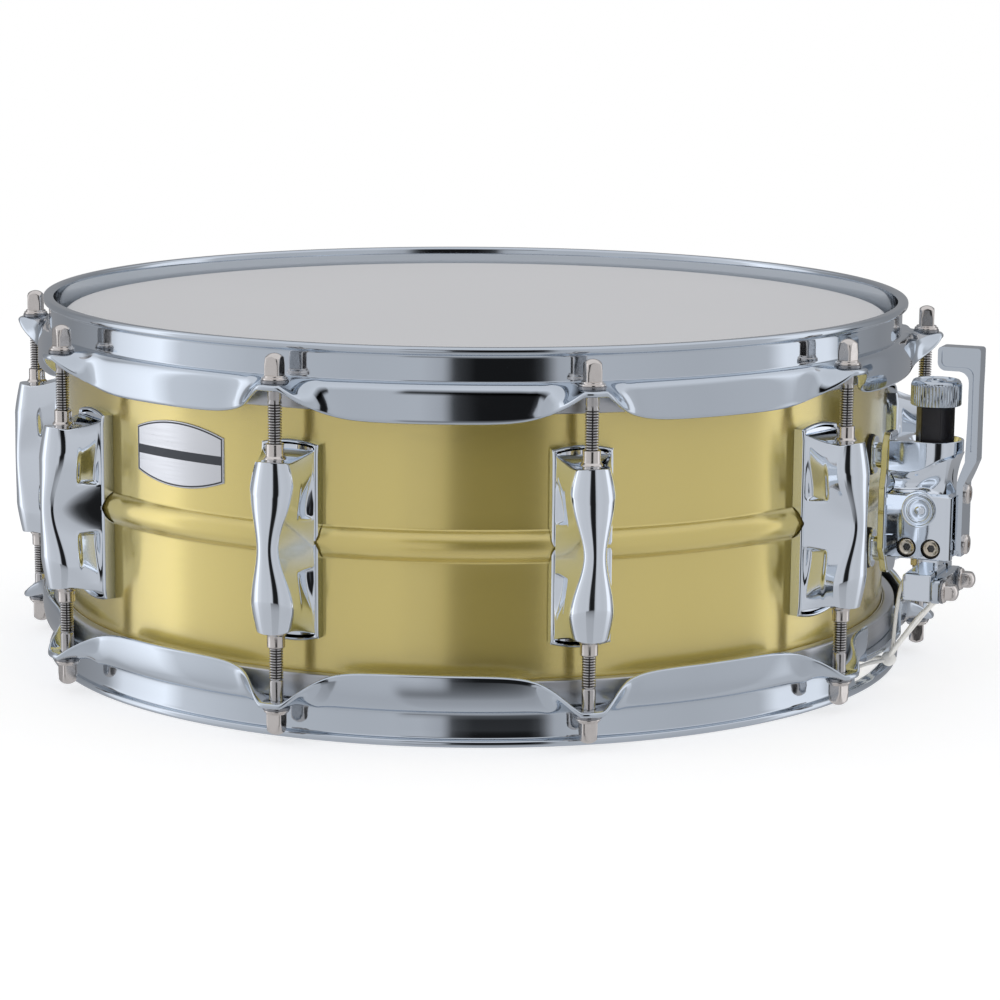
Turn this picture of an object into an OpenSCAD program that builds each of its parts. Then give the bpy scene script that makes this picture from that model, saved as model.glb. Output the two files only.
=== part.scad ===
// Snare drum, 14 x 5.5 inch, with ten double-ended lugs and a side throw-off.
// Origin: drum axis at the plane of the lower rim. +Z up, +X towards the throw-off.

/* [Shell] */
// Outside diameter of the shell
shell_d = 356; // [354:0.5:357]
// Length of the shell between its bearing edges
shell_h = 139.8; // [136:0.1:144]
// Thickness of the shell
shell_wall = 1.2; // [1:0.1:1.4]
// Height that the centre bead stands out of the shell
bead_out = 3.6; // [2.5:0.1:3.8]

/* [Hoops] */
// Height of each rim beyond the bearing edge
rim_proud = 7.4; // [7:0.1:8]
// Outside diameter of the rim flange
rim_d = 371.6; // [370:0.2:373]
// Outside diameter of the hoop's wall
wall_d = 366.8; // [366:0.2:368]
// Outside diameter of the hoop's skirt
skirt_d = 377; // [376:0.2:378]
// Sheet thickness of the hoops
hoop_t = 2.3; // [2:0.1:2.4]

/* [Lugs] */
// Diameter of the circle that the tension rods stand on
rod_circle_d = 388; // [387:0.5:390]
// Height of a lug's casing
lug_h = 66.4; // [64:0.2:68]
// Height of a lug's base plate
plate_h = 79.2; // [76:0.2:80]
// Width of a lug's base plate
plate_w = 24; // [22:0.5:26]

/* [Tension rods] */
// Thread diameter of a tension rod
rod_d = 5.5; // [5:0.1:5.5]
// Across flats of the square head
head_af = 6.2; // [6:0.1:6.4]
// Depth that a rod reaches into the lug
rod_in_lug = 14.5; // [12:0.5:15]

/* [Throw-off] */
// Distance of the spindle from the drum axis
spindle_x = 205.2; // [205:0.1:205.4]
// Diameter of the strain-adjusting knob
knob_d = 21; // [19:0.5:22]
// Height of the strain-adjusting knob
knob_h = 10.7; // [9:0.1:10.8]
// Width of the throw-off casing
casing_w = 24; // [23:0.5:26]
// Width of the upper part of the lever
lever_top_w = 8.5; // [7:0.5:10]
// Width of the lower part of the lever
lever_low_w = 14; // [12:0.5:14.5]

/* [Snares] */
// Number of wires
wire_count = 20; // [12:1:20]
// Diameter of a wire's coil
wire_d = 1.5; // [1:0.1:1.5]
// Distance between wires
wire_pitch = 1.9; // [1.7:0.1:2]
// Diameter of a snare cord
cord_d = 2.8; // [2:0.1:2.8]

/* [Hidden] */
$fn = 128;
shell_r = shell_d / 2;
total_h = shell_h + 2 * rim_proud;
mid = total_h / 2;
rod_r = rod_circle_d / 2;
rim_r = rim_d / 2;
wall_r = wall_d / 2;
skirt_r = skirt_d / 2;
hoop_in_r = wall_r - hoop_t;
// Depths measured down from the rim's own plane
shelf_top = 13.4;
shelf_bottom = shelf_top + hoop_t;
skirt_depth = 29.1;
ear_top = 14.7;
ear_bottom = ear_top + hoop_t;
flesh_h = 10;
rod_tip = 3.2;
flange_depth = 11.9;
washer_depth = 13.4;
edge_turn = 3;
film_t = 0.3;
bead_r = 7.2;
bead_x = shell_r + bead_out - bead_r;
lug_count = 10;
lug_screw_z = 24;
nut_d = 7;
nut_proud = 6.3;
nut_in = 16.5;
gate_w = 52;
wire_z = 6.2;
plate_z = 4.4;
plate_t = wire_z - wire_d / 2 - plate_z;
wire_len = 320;
plate_in = 158;
plate_out = 172;
plate_span = 42;
// Throw-off
bracket_x = 184.8;
casing_x = 188.4;
casing_out = 216.2;
casing_low = 55.3;
casing_high = 82;
collar_low = 91.3;
collar_high = 104.1;
collar_r = 12;
hex_r = 8.2;
hex_low = 88;
knob_low = 118;
spindle_d = 6;
pivot_x = 214.2;
pivot_z = 60;
pivot_pin_d = 2.5;
clamp_low = 39;
clamp_high = 50.2;
clamp_in = 198;
clamp_out = 209.9;
clamp_w = 35.2;
clamp_plate_t = 3.75;
bolt_y = 14;
bolt_z = 43.2;
cord_y = 9;
cord_x = clamp_out - 1.5;
foot_z = [56.1, 95.5];
butt_in = 179.6;
butt_out = 196.4;
butt_low = 38;
butt_high = 56;
butt_bolt_z = 47;
butt_cord_x = butt_out - 1.5;

// Routes of the cords, from the clamp down through the gate to the end plate
bead_point = [188.6, 0, 9.4];
strand_route = [[208.4, 9, 46], [208.4, 9, 38.6], [207.2, 8.5, 36], [203, 7, 31], [197, 4.8, 22.4],
    [192, 2.8, 15.4], [190, 1.4, 12], [188.6, 0.6, 9.8]];
ribbon_route = [[197.6, -5.5, 45.6], [196, -5.5, 45.4], [194.6, -5.2, 43], [193.4, -4.6, 38], [192.2, -3.6, 30],
    [191.2, -2.4, 21], [190.4, -1.2, 14], [189, -0.6, 10]];
tail_route = [[188.4, 0.8, 9.3], [185, 3.4, 8.6], [182, 5.4, 8.1], [178, 7.4, 6.6], [175, 8.4, 5.5], [172.1, 9, 5]];
butt_route = [[194.9, 9, 50], [194.9, 9, 40], [194.4, 9, 35], [192.4, 9, 24], [190.8, 9, 15], [189.6, 9, 11.4],
    [187, 9, 9.6], [182, 9, 8.2], [178, 9, 6.7], [175, 9, 5.5], [172.1, 9, 5]];

lug_names = [for (i = [1:lug_count]) str("lug_", i)];

// ---- helpers ----

module at_lugs() {
    for (i = [0:lug_count - 1])
        rotate([0, 0, 18 + 360 / lug_count * i])
            children();
}

// Turns a part of the upper side over to the lower side
module lower_side() {
    translate([0, 0, total_h])
        mirror([0, 0, 1])
            children();
}

module both_y() {
    children();
    mirror([0, 1, 0])
        children();
}

module box(low, high) {
    translate(low)
        cube(high - low);
}

module radial_cylinder(x, y, z, r, length) {
    translate([x, y, z])
        rotate([0, 90, 0])
            cylinder(h = length, r = r);
}

function unit(v) = v / norm(v);
function heading(p, i) =
    i == 0 ? unit(p[1] - p[0]) :
    i == len(p) - 1 ? unit(p[i] - p[i - 1]) :
    unit(unit(p[i + 1] - p[i]) + unit(p[i] - p[i - 1]));
function ring(p, i, across, thick, sides) =
    let (t = heading(p, i), u = unit(cross([0, 1, 0], t)), v = cross(t, u))
    [for (k = [0:sides - 1]) p[i] + thick * cos(360 * k / sides) * u + across * sin(360 * k / sides) * v];

// A tube with an oval section swept along a route
module tube(route, across, thick, sides = 8) {
    last = len(route) - 1;
    points = [for (i = [0:last]) each ring(route, i, across, thick, sides)];
    start_cap = [[for (k = [0:sides - 1]) sides - 1 - k]];
    end_cap = [[for (k = [0:sides - 1]) last * sides + k]];
    walls = [for (i = [0:last - 1]) for (k = [0:sides - 1])
        let (a = i * sides + k, b = i * sides + (k + 1) % sides) [a, b, b + sides, a + sides]];
    polyhedron(points, [for (f = concat(start_cap, end_cap, walls)) [for (k = [1:len(f)]) f[len(f) - k]]]);
}

// ---- shell ----

function arc(centre, r, from, to, steps = 12) =
    [for (k = [0:steps]) let (a = from + (to - from) * k / steps) centre + r * [cos(a), sin(a)]];

// Wall with both bearing edges turned in at 45 degrees, and the centre bead
module shell_profile() {
    turn_in = shell_r - edge_turn - 0.85;
    wall_in = shell_r - shell_wall;
    bead = [bead_x, shell_h / 2];
    outer = acos((shell_r - bead_x) / bead_r);
    inner = acos((wall_in - bead_x) / (bead_r - shell_wall));
    polygon(concat(
        [[turn_in, 0.85], [shell_r - edge_turn, 0], [shell_r, edge_turn]],
        arc(bead, bead_r, -outer, outer),
        [[shell_r, shell_h - edge_turn], [shell_r - edge_turn, shell_h], [turn_in, shell_h - 0.85],
        [wall_in, shell_h - edge_turn - 0.5]],
        arc(bead, bead_r - shell_wall, inner, -inner),
        [[wall_in, edge_turn + 0.5]]));
}

module shell() {
    color("#c9b268")
    difference() {
        translate([0, 0, rim_proud])
            rotate_extrude()
                shell_profile();
        at_lugs()
            for (side = [-1, 1])
                radial_cylinder(shell_r - 8, 0, mid + side * lug_screw_z, 2.6, 16);
        for (z = foot_z)
            radial_cylinder(shell_r - 8, 0, z, 2.6, 16);
        for (y = [-8, 8])
            rotate([0, 0, 180])
                radial_cylinder(shell_r - 8, y, butt_bolt_z, 2.6, 16);
        rotate([0, 0, 72])
            radial_cylinder(shell_r - 8, 0, mid + 30, 5, 16);
    }
}

// Barrel-shaped plate bent to the shell, with its border and a plain centre band
module badge() {
    badge_w = 48.6;
    badge_h = 26.5;
    arc_r = 70;
    badge_z = mid + 27.5;
    color("#d5d8dc")
    rotate([0, 0, -108])
        intersection() {
            translate([0, 0, badge_z - badge_h / 2])
                difference() {
                    cylinder(h = badge_h, r = shell_r + 0.65);
                    translate([0, 0, -1])
                        cylinder(h = badge_h + 2, r = shell_r + 0.05);
                }
            intersection_for (s = [-1, 1])
                radial_cylinder(shell_r - 6, 0, badge_z - s * (arc_r - badge_h / 2), arc_r, 12);
            box([shell_r - 6, -badge_w / 2, 0], [shell_r + 6, badge_w / 2, total_h]);
        }
}

module vent_grommet() {
    color("silver")
    rotate([0, 0, 72])
        difference() {
            union() {
                radial_cylinder(shell_r - 2.6, 0, mid + 30, 4.9, 4);
                radial_cylinder(shell_r + 0.1, 0, mid + 30, 8, 1.3);
                radial_cylinder(shell_r - 3.2, 0, mid + 30, 7, 1.2);
            }
            radial_cylinder(shell_r - 5, 0, mid + 30, 3.9, 10);
        }
}

// ---- heads and hoops ----

// Film with its collar, drawn for the batter side
module head_film() {
    top = total_h - rim_proud;
    tail = total_h - shelf_bottom - flesh_h + 0.4;
    edge_r = shell_r - edge_turn;
    rotate_extrude()
        polygon([[0, top + 0.05], [edge_r + 0.05, top + 0.05], [shell_r + 0.2, top - 3.1], [shell_r + 0.45, tail],
            [shell_r + 0.75, tail], [shell_r + 0.5, top - 3], [edge_r + 0.2, top + 0.05 + film_t],
            [0, top + 0.05 + film_t]]);
}

module flesh_hoop() {
    translate([0, 0, total_h - shelf_bottom - flesh_h])
        rotate_extrude()
            translate([shell_r + 1, 0])
                square([4.6, flesh_h]);
}

// Section of the pressed hoop: rolled rim, wall, shelf and skirt, measured down from the rim
module hoop_profile() {
    rim_t = 3;
    corner = 0.7;
    translate([hoop_in_r, -shelf_bottom])
        square([hoop_t, shelf_bottom - 0.1]);
    translate([hoop_in_r, -rim_t])
        square([rim_r - hoop_in_r - corner, rim_t]);
    translate([hoop_in_r, corner - rim_t])
        square([rim_r - hoop_in_r, rim_t - 2 * corner]);
    for (z = [-corner, corner - rim_t])
        translate([rim_r - corner, z])
            circle(corner);
    translate([hoop_in_r, -shelf_bottom])
        square([skirt_r - hoop_in_r - 1, hoop_t]);
    translate([skirt_r - hoop_t, -skirt_depth])
        square([hoop_t, skirt_depth - shelf_top - 1]);
    translate([skirt_r - hoop_t, -shelf_top - 2])
        intersection() {
            circle(2.3);
            square([3, 3]);
        }
}

// Arch that opens the skirt below an ear
module skirt_arch() {
    translate([skirt_r - 4, 0, 0])
        rotate([90, 0, 90])
            linear_extrude(height = 7)
                polygon([[-30, -skirt_depth - 1], [-26, -skirt_depth + 1], [-13, -skirt_depth + 4],
                    [-6, -ear_bottom], [6, -ear_bottom], [13, -skirt_depth + 4], [26, -skirt_depth + 1],
                    [30, -skirt_depth - 1]]);
}

module ear() {
    tip_r = 201.4;
    lobe_r = 7.2;
    translate([0, 0, -ear_bottom])
        linear_extrude(height = hoop_t) {
            translate([tip_r - lobe_r, 0])
                circle(lobe_r);
            polygon([[skirt_r - hoop_t, -13], [skirt_r, -12.4], [tip_r - lobe_r, -lobe_r],
                [tip_r - lobe_r, lobe_r], [skirt_r, 12.4], [skirt_r - hoop_t, 13]]);
        }
}

module hoop() {
    translate([0, 0, total_h])
        difference() {
            union() {
                difference() {
                    rotate_extrude()
                        hoop_profile();
                    at_lugs()
                        skirt_arch();
                }
                at_lugs()
                    ear();
            }
            at_lugs()
                translate([rod_r, 0, -ear_bottom - 1])
                    cylinder(h = hoop_t + 2, r = 3.2);
        }
}

// Window for the snares in the lower hoop: open wall, and no skirt above the shelf
module gate_cut() {
    for (turn = [0, 180])
        rotate([0, 0, turn]) {
            box([hoop_in_r - 3, -gate_w / 2, 3.2], [wall_r + 1, gate_w / 2, shelf_top - 0.2]);
            box([wall_r + 0.6, -gate_w / 2, shelf_bottom], [skirt_r + 3, gate_w / 2, skirt_depth + 2]);
        }
}

module batter_head() {
    color("#eceae4")
    head_film();
}

module batter_flesh_hoop() {
    color("#b9bcc0")
    flesh_hoop();
}

module batter_hoop() {
    color("#d4d9e0")
    hoop();
}

module snare_head() {
    color("#f0efe9", 0.7)
    lower_side()
        head_film();
}

module snare_flesh_hoop() {
    color("#b9bcc0")
    lower_side()
        flesh_hoop();
}

module snare_hoop() {
    color("#d4d9e0")
    difference() {
        lower_side()
            hoop();
        gate_cut();
    }
}

// ---- lugs and tension rods ----

module lug(i) {
    color("#dfe3e9")
    rotate([0, 0, 18 + 360 / lug_count * (i - 1)])
        difference() {
            union() {
                translate([rod_r, 0, mid])
                    rotate_extrude()
                        polygon([[0, -lug_h / 2], [7.1, -lug_h / 2], [9.5, -20], [5.2, 0], [9.5, 20],
                            [7.1, lug_h / 2], [0, lug_h / 2]]);
                translate([rod_r + 6.2, 0, mid])
                    rotate_extrude()
                        polygon([[0, -25], [2.6, -25], [4.1, -19], [4.1, 19], [2.6, 25], [0, 25]]);
                translate([0, 2.5, mid])
                    rotate([90, 0, 0])
                        linear_extrude(height = 5)
                            polygon([[shell_r, -plate_h / 2], [183, -plate_h / 2], [192, -lug_h / 2 + 6],
                                [192, lug_h / 2 - 6], [183, plate_h / 2], [shell_r, plate_h / 2]]);
                box([shell_r - 3, -plate_w / 2, mid - plate_h / 2 + 6],
                    [182.6, plate_w / 2, mid + plate_h / 2 - 6]);
                for (side = [-1, 1])
                    translate([shell_r - 3, 0, mid + side * (plate_h / 2 - 12)])
                        rotate([0, 90, 0])
                            cylinder(h = 7.6, r = plate_w / 2);
            }
            cylinder(h = total_h, r = shell_r + 0.05, $fn = 256);
            translate([0, 0, mid])
                rotate_extrude($fn = 256)
                    translate([bead_x, 0])
                        circle(bead_r + 0.3, $fn = 128);
            for (side = [-1, 1]) {
                radial_cylinder(shell_r - 1, 0, mid + side * lug_screw_z, 2.5, 10);
                translate([rod_r, 0, mid + side * (lug_h / 2 - nut_in / 2)])
                    cylinder(h = nut_in + 0.6, r = nut_d / 2 + 0.05, center = true);
            }
        }
}

module lug_screws() {
    color("silver")
    at_lugs()
        for (side = [-1, 1]) {
            radial_cylinder(172.1, 0, mid + side * lug_screw_z, 4.5, 3.4);
            radial_cylinder(175.4, 0, mid + side * lug_screw_z, 2.4, 11);
        }
}

module lug_washers() {
    color("silver")
    at_lugs()
        for (side = [-1, 1])
            difference() {
                radial_cylinder(175.55, 0, mid + side * lug_screw_z, 6, 1);
                radial_cylinder(175, 0, mid + side * lug_screw_z, 2.5, 2);
            }
}

module swivel_nuts() {
    nut_top = lug_h / 2 + nut_proud;
    nut_low = lug_h / 2 - nut_in + 0.1;
    color("#cfc6bf")
    at_lugs()
        for (side = [0, 1])
            translate([rod_r, 0, mid])
                mirror([0, 0, side])
                    difference() {
                        translate([0, 0, nut_low])
                            cylinder(h = nut_top - nut_low, r = nut_d / 2);
                        translate([0, 0, nut_low - 1])
                            cylinder(h = nut_top - nut_low + 2, r = rod_d / 2 + 0.05);
                    }
}

// Rod of the upper side: domed square head, flange and shank
module tension_rod() {
    head_low = total_h - flange_depth;
    shank_low = mid + lug_h / 2 - rod_in_lug;
    translate([rod_r, 0, 0]) {
        translate([0, 0, shank_low])
            cylinder(h = head_low - shank_low + 0.5, r = rod_d / 2);
        translate([0, 0, total_h - washer_depth])
            cylinder(h = washer_depth - flange_depth, r1 = 5, r2 = 4.6);
        intersection() {
            box([-head_af / 2, -head_af / 2, head_low], [head_af / 2, head_af / 2, total_h - rod_tip]);
            cylinder(h = total_h - rod_tip, r = 4.2);
            translate([0, 0, total_h - rod_tip - 4.6])
                sphere(r = 4.6);
        }
        intersection() {
            box([-head_af / 2, -head_af / 2, head_low], [head_af / 2, head_af / 2, total_h - rod_tip - 4.6]);
            cylinder(h = total_h - rod_tip, r = 4.2);
        }
    }
}

module tension_rods_top() {
    color("#cfcac6")
    at_lugs()
        tension_rod();
}

module tension_rods_bottom() {
    color("#cfcac6")
    lower_side()
        at_lugs()
            tension_rod();
}

module rod_washer() {
    washer_h = ear_top - washer_depth;
    translate([rod_r, 0, total_h - ear_top])
        difference() {
            cylinder(h = washer_h, r = 5.4);
            translate([0, 0, -1])
                cylinder(h = washer_h + 2, r = rod_d / 2 + 0.05);
        }
}

module rod_washers_top() {
    color("#55585c")
    at_lugs()
        rod_washer();
}

module rod_washers_bottom() {
    color("#55585c")
    lower_side()
        at_lugs()
            rod_washer();
}

// ---- throw-off: fixed parts ----

module upright_oval(x, z, length, width, height) {
    for (side = [-1, 1])
        radial_cylinder(x, 0, z + side * (height - width) / 2, width / 2, length);
    box([x, -width / 2, z - (height - width) / 2], [x + length, width / 2, z + (height - width) / 2]);
}

module strainer_bracket() {
    color("#d4d9e0")
    difference() {
        union() {
            for (z = foot_z)
                upright_oval(180.4, z, bracket_x - 180.3, 8, 13);
            box([bracket_x, -casing_w / 2, 58], [casing_x, casing_w / 2, 84]);
            box([bracket_x, -8, 52], [casing_x, 8, 100]);
            radial_cylinder(bracket_x, 0, foot_z[0], 9.5, casing_x - bracket_x);
            radial_cylinder(bracket_x, 0, foot_z[1] + 1, 10, casing_x - bracket_x);
        }
        for (z = foot_z)
            radial_cylinder(179, 0, z, 2.5, 8.5);
    }
}

module strainer_gaskets() {
    color("#17171a")
    difference() {
        for (z = foot_z)
            upright_oval(shell_r - 1, z, 180.35 - shell_r + 1, 11, 17.3);
        cylinder(h = total_h, r = shell_r + 0.03, $fn = 256);
        for (z = foot_z)
            radial_cylinder(170, 0, z, 2.6, 20);
    }
}

module strainer_mount_screws() {
    color("silver")
    for (z = foot_z) {
        radial_cylinder(172, 0, z, 5, 4.6);
        radial_cylinder(176, 0, z, 2.4, 11);
    }
}

module strainer_casing() {
    color("#dfe3e9")
    difference() {
        union() {
            box([casing_x, -casing_w / 2, casing_low], [casing_out, casing_w / 2, casing_high]);
            box([casing_x, -9, casing_high - 1], [casing_out, 9, collar_low + 1]);
            both_y()
                translate([202.6, casing_w / 2, mid - 1.5])
                    rotate([90, 0, 0])
                        cylinder(h = 3.6, r = 8);
            translate([spindle_x, 0, collar_low])
                cylinder(h = collar_high - collar_low, r = collar_r);
            box([casing_x, -collar_r, collar_low], [spindle_x, collar_r, collar_high]);
        }
        // Well for the lever, the clamp's tongue and the stem, open outwards and downwards
        box([191.6, -8, casing_low - 2], [casing_out + 2, 8, 80]);
        translate([spindle_x, 0, 76])
            cylinder(h = collar_high - 70, r = hex_r + 0.3, $fn = 6);
        both_y() {
            for (x = [197.7, 207.9]) {
                translate([x, -7, pivot_z])
                    rotate([90, 0, 0])
                        cylinder(h = 8, r = 2.05);
                translate([x, -casing_w / 2 + 2.4, pivot_z])
                    rotate([90, 0, 0])
                        cylinder(h = 5, r = 4.1);
            }
            translate([pivot_x, -7, pivot_z])
                rotate([90, 0, 0])
                    cylinder(h = 4, r = pivot_pin_d / 2);
        }
    }
}

module casing_screws() {
    color("#c8b9a6")
    both_y()
        for (x = [197.7, 207.9])
            difference() {
                union() {
                    translate([x, -casing_w / 2 + 2.4, pivot_z])
                        rotate([90, 0, 0])
                            cylinder(h = 2.2, r = 4);
                    translate([x, -8.2, pivot_z])
                        rotate([90, 0, 0])
                            cylinder(h = 2, r = 2);
                }
                translate([x, -casing_w / 2 + 1.4, pivot_z])
                    rotate([90, 0, 0])
                        cylinder(h = 3, r = 1.8, $fn = 6);
            }
}

module emblem_disc() {
    color("#cfd4da")
    translate([202.6, -casing_w / 2, mid - 1.5])
        rotate([90, 0, 0])
            difference() {
                cylinder(h = 1, r = 7.1);
                translate([0, 0, 0.6])
                    cylinder(h = 1, r = 6.3);
            }
}

module lever_pin() {
    color("silver")
    translate([pivot_x, 10.8, pivot_z])
        rotate([90, 0, 0])
            cylinder(h = 21.6, r = pivot_pin_d / 2);
}

// ---- throw-off: moving parts ----

module lever() {
    arm_in = 220;
    arm_out = 224;
    low_in = 216.7;
    low_out = 219.4;
    pad_in = 206.3;
    pad_out = 224.2;
    pad_low = 133.2;
    pad_high = 142.8;
    crank_low = 87;
    crank_high = 97;
    foot = 56;
    color("#d8dde4")
    difference() {
        union() {
            translate([0, lever_top_w / 2, 0])
                rotate([90, 0, 0])
                    linear_extrude(height = lever_top_w)
                        polygon([[arm_in, crank_high], [arm_in, pad_low - 3], [arm_in - 3, pad_low],
                            [pad_in + 3, pad_low], [pad_in, pad_low + 3], [pad_in, pad_high - 4],
                            [pad_in + 2, pad_high], [pad_out - 1.5, pad_high], [pad_out, pad_high - 1.5],
                            [arm_out, pad_low - 6], [arm_out, crank_high]]);
            translate([0, lever_low_w / 2, 0])
                rotate([90, 0, 0])
                    linear_extrude(height = lever_low_w)
                        polygon([[low_in, foot], [low_in, crank_low], [arm_in, crank_high], [arm_out, crank_high],
                            [arm_out, crank_high - 1], [low_out, crank_low - 1], [low_out, foot]]);
            box([pivot_x, -lever_low_w / 2, pivot_z - 3.9], [low_in + 1, lever_low_w / 2, pivot_z + 3.9]);
            translate([pivot_x, lever_low_w / 2, pivot_z])
                rotate([90, 0, 0])
                    cylinder(h = lever_low_w, r = 3.9);
        }
        translate([pivot_x, lever_low_w, pivot_z])
            rotate([90, 0, 0])
                cylinder(h = 2 * lever_low_w, r = pivot_pin_d / 2 + 0.05);
    }
}

module lever_rivets() {
    color("#c8b9a6")
    for (z = [61, 82])
        difference() {
            radial_cylinder(219.4, 0, z, 4.2, 1.6);
            radial_cylinder(220.2, 0, z, 1.6, 2, $fn = 6);
        }
}

module hex_stem() {
    color("#1c1b1e")
    translate([spindle_x, 0, hex_low])
        difference() {
            cylinder(h = knob_low - 0.15 - hex_low, r = hex_r, $fn = 6);
            translate([0, 0, -1])
                cylinder(h = knob_low, r = spindle_d / 2 + 0.08);
        }
}

module knob() {
    color("#d4d9e0")
    translate([spindle_x, 0, knob_low])
        difference() {
            union() {
                cylinder(h = knob_h - 0.8, r = knob_d / 2);
                translate([0, 0, knob_h - 0.8])
                    cylinder(h = 0.8, r1 = knob_d / 2, r2 = knob_d / 2 - 0.8);
            }
            translate([0, 0, -1])
                cylinder(h = knob_h - 1, r = spindle_d / 2);
        }
}

module spindle() {
    color("silver")
    translate([spindle_x, 0, clamp_low - 4])
        cylinder(h = knob_low + knob_h - 2 - clamp_low + 4, r = spindle_d / 2);
}

module clamp_block() {
    color("#dfe3e9")
    difference() {
        union() {
            box([clamp_in, -clamp_w / 2, clamp_low], [clamp_out, clamp_w / 2, clamp_high]);
            box([201, -4.4, clamp_high - 1], [209.4, 4.4, 72]);
        }
        translate([spindle_x, 0, clamp_low - 1])
            cylinder(h = 60, r = spindle_d / 2 + 0.08);
        both_y() {
            translate([cord_x, cord_y, clamp_low - 1])
                cylinder(h = clamp_high, r = cord_d / 2 + 0.15);
            box([cord_x, cord_y - cord_d / 2 - 0.15, clamp_low - 1],
                [clamp_out + 1, cord_y + cord_d / 2 + 0.15, clamp_high + 1]);
            radial_cylinder(200, bolt_y, bolt_z, 2.55, 20);
        }
    }
}

module clamp_plate() {
    color("#dfe3e9")
    difference() {
        box([clamp_out + 0.05, -clamp_w / 2, 38.4], [clamp_out + clamp_plate_t, clamp_w / 2, 48.2]);
        both_y()
            radial_cylinder(clamp_out - 2, bolt_y, bolt_z, 2.6, 10);
    }
}

// Square-headed clamp bolt along +X, its washer face at x
module square_bolt(x, y, z, head, shank) {
    radial_cylinder(x - shank, y, z, 2.5, shank + 0.5);
    radial_cylinder(x, y, z, 4.6, 1);
    intersection() {
        translate([x, y, z])
            rotate([0, 90, 0])
                translate([-head_af / 2, -head_af / 2, 0])
                    cube([head_af, head_af, head]);
        radial_cylinder(x, y, z, 4.1, head);
    }
}

module bolt_washer(x, y, z) {
    difference() {
        radial_cylinder(x, y, z, 5, 1);
        radial_cylinder(x - 1, y, z, 2.55, 3);
    }
}

module clamp_bolts() {
    color("#cfc6bf")
    both_y()
        square_bolt(clamp_out + clamp_plate_t + 1, bolt_y, bolt_z, 6.2, 14);
}

module clamp_bolt_washers() {
    color("#8d8f93")
    both_y()
        bolt_washer(clamp_out + clamp_plate_t, bolt_y, bolt_z);
}

// ---- snares ----

module strainer_cords() {
    color("#f1efe6") {
        both_y() {
            tube(strand_route, cord_d / 2, cord_d / 2);
            tube(tail_route, cord_d / 2, cord_d / 2);
        }
        tube(ribbon_route, 1.8, 0.7);
        translate(bead_point)
            sphere(r = 3.2, $fn = 24);
    }
}

module end_plate() {
    difference() {
        box([plate_in, -plate_span / 2, plate_z], [plate_out, plate_span / 2, plate_z + plate_t]);
        both_y()
            translate([plate_out - 3.5, cord_y, plate_z - 1])
                cylinder(h = 4, r = 1.6);
    }
}

module snare_plate_strainer() {
    color("#c9a85c")
    end_plate();
}

module snare_plate_butt() {
    color("#c9a85c")
    rotate([0, 0, 180])
        end_plate();
}

module snare_wires() {
    color("#d9dce0")
    for (i = [0:wire_count - 1])
        radial_cylinder(-wire_len / 2, (i - (wire_count - 1) / 2) * wire_pitch, wire_z, wire_d / 2, wire_len, $fn = 16);
}

// ---- butt end, drawn on the +X side and turned round ----

module butt_body() {
    color("#dfe3e9")
    rotate([0, 0, 180])
        difference() {
            box([butt_in, -15, butt_low], [butt_out, 15, butt_high]);
            both_y() {
                translate([butt_cord_x, cord_y, butt_low - 1])
                    cylinder(h = 30, r = cord_d / 2 + 0.15);
                box([butt_cord_x, cord_y - cord_d / 2 - 0.15, butt_low - 1],
                    [butt_out + 1, cord_y + cord_d / 2 + 0.15, butt_high + 1]);
                radial_cylinder(butt_in - 1, 8, butt_bolt_z, 2.5, 9);
            }
            radial_cylinder(189, 0, butt_bolt_z, 2.55, 10);
        }
}

module butt_gasket() {
    color("#17171a")
    rotate([0, 0, 180])
        difference() {
            box([shell_r - 2, -16, butt_low - 1], [butt_in, 16, butt_high + 1]);
            cylinder(h = total_h, r = shell_r + 0.03, $fn = 256);
            both_y()
                radial_cylinder(170, 8, butt_bolt_z, 2.6, 20);
        }
}

module butt_mount_screws() {
    color("silver")
    rotate([0, 0, 180])
        both_y() {
            radial_cylinder(172, 8, butt_bolt_z, 4.5, 4.3);
            radial_cylinder(176, 8, butt_bolt_z, 2.4, 11.2);
        }
}

module butt_clamp_plate() {
    color("#dfe3e9")
    rotate([0, 0, 180])
        difference() {
            box([butt_out + 0.05, -15, 41], [butt_out + 3.5, 15, 53]);
            radial_cylinder(butt_out - 2, 0, butt_bolt_z, 2.6, 10);
        }
}

module butt_bolts() {
    color("#cfc6bf")
    rotate([0, 0, 180])
        square_bolt(butt_out + 4.5, 0, butt_bolt_z, 6.2, 11);
}

module butt_bolt_washers() {
    color("#8d8f93")
    rotate([0, 0, 180])
        bolt_washer(butt_out + 3.5, 0, butt_bolt_z);
}

module butt_cords() {
    color("#f1efe6")
    rotate([0, 0, 180])
        both_y()
            tube(butt_route, cord_d / 2, cord_d / 2);
}

shell();
badge();
vent_grommet();
batter_head();
batter_flesh_hoop();
batter_hoop();
snare_head();
snare_flesh_hoop();
snare_hoop();
for (i = [1:lug_count])
    lug(i);
lug_screws();
lug_washers();
swivel_nuts();
tension_rods_top();
tension_rods_bottom();
rod_washers_top();
rod_washers_bottom();
strainer_bracket();
strainer_gaskets();
strainer_mount_screws();
strainer_casing();
casing_screws();
emblem_disc();
lever_pin();
lever();
lever_rivets();
hex_stem();
knob();
spindle();
clamp_block();
clamp_plate();
clamp_bolts();
clamp_bolt_washers();
strainer_cords();
snare_plate_strainer();
snare_wires();
snare_plate_butt();
butt_body();
butt_gasket();
butt_mount_screws();
butt_clamp_plate();
butt_bolts();
butt_bolt_washers();
butt_cords();
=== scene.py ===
import math
import bpy
import bmesh
from mathutils import Matrix, Vector


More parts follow.
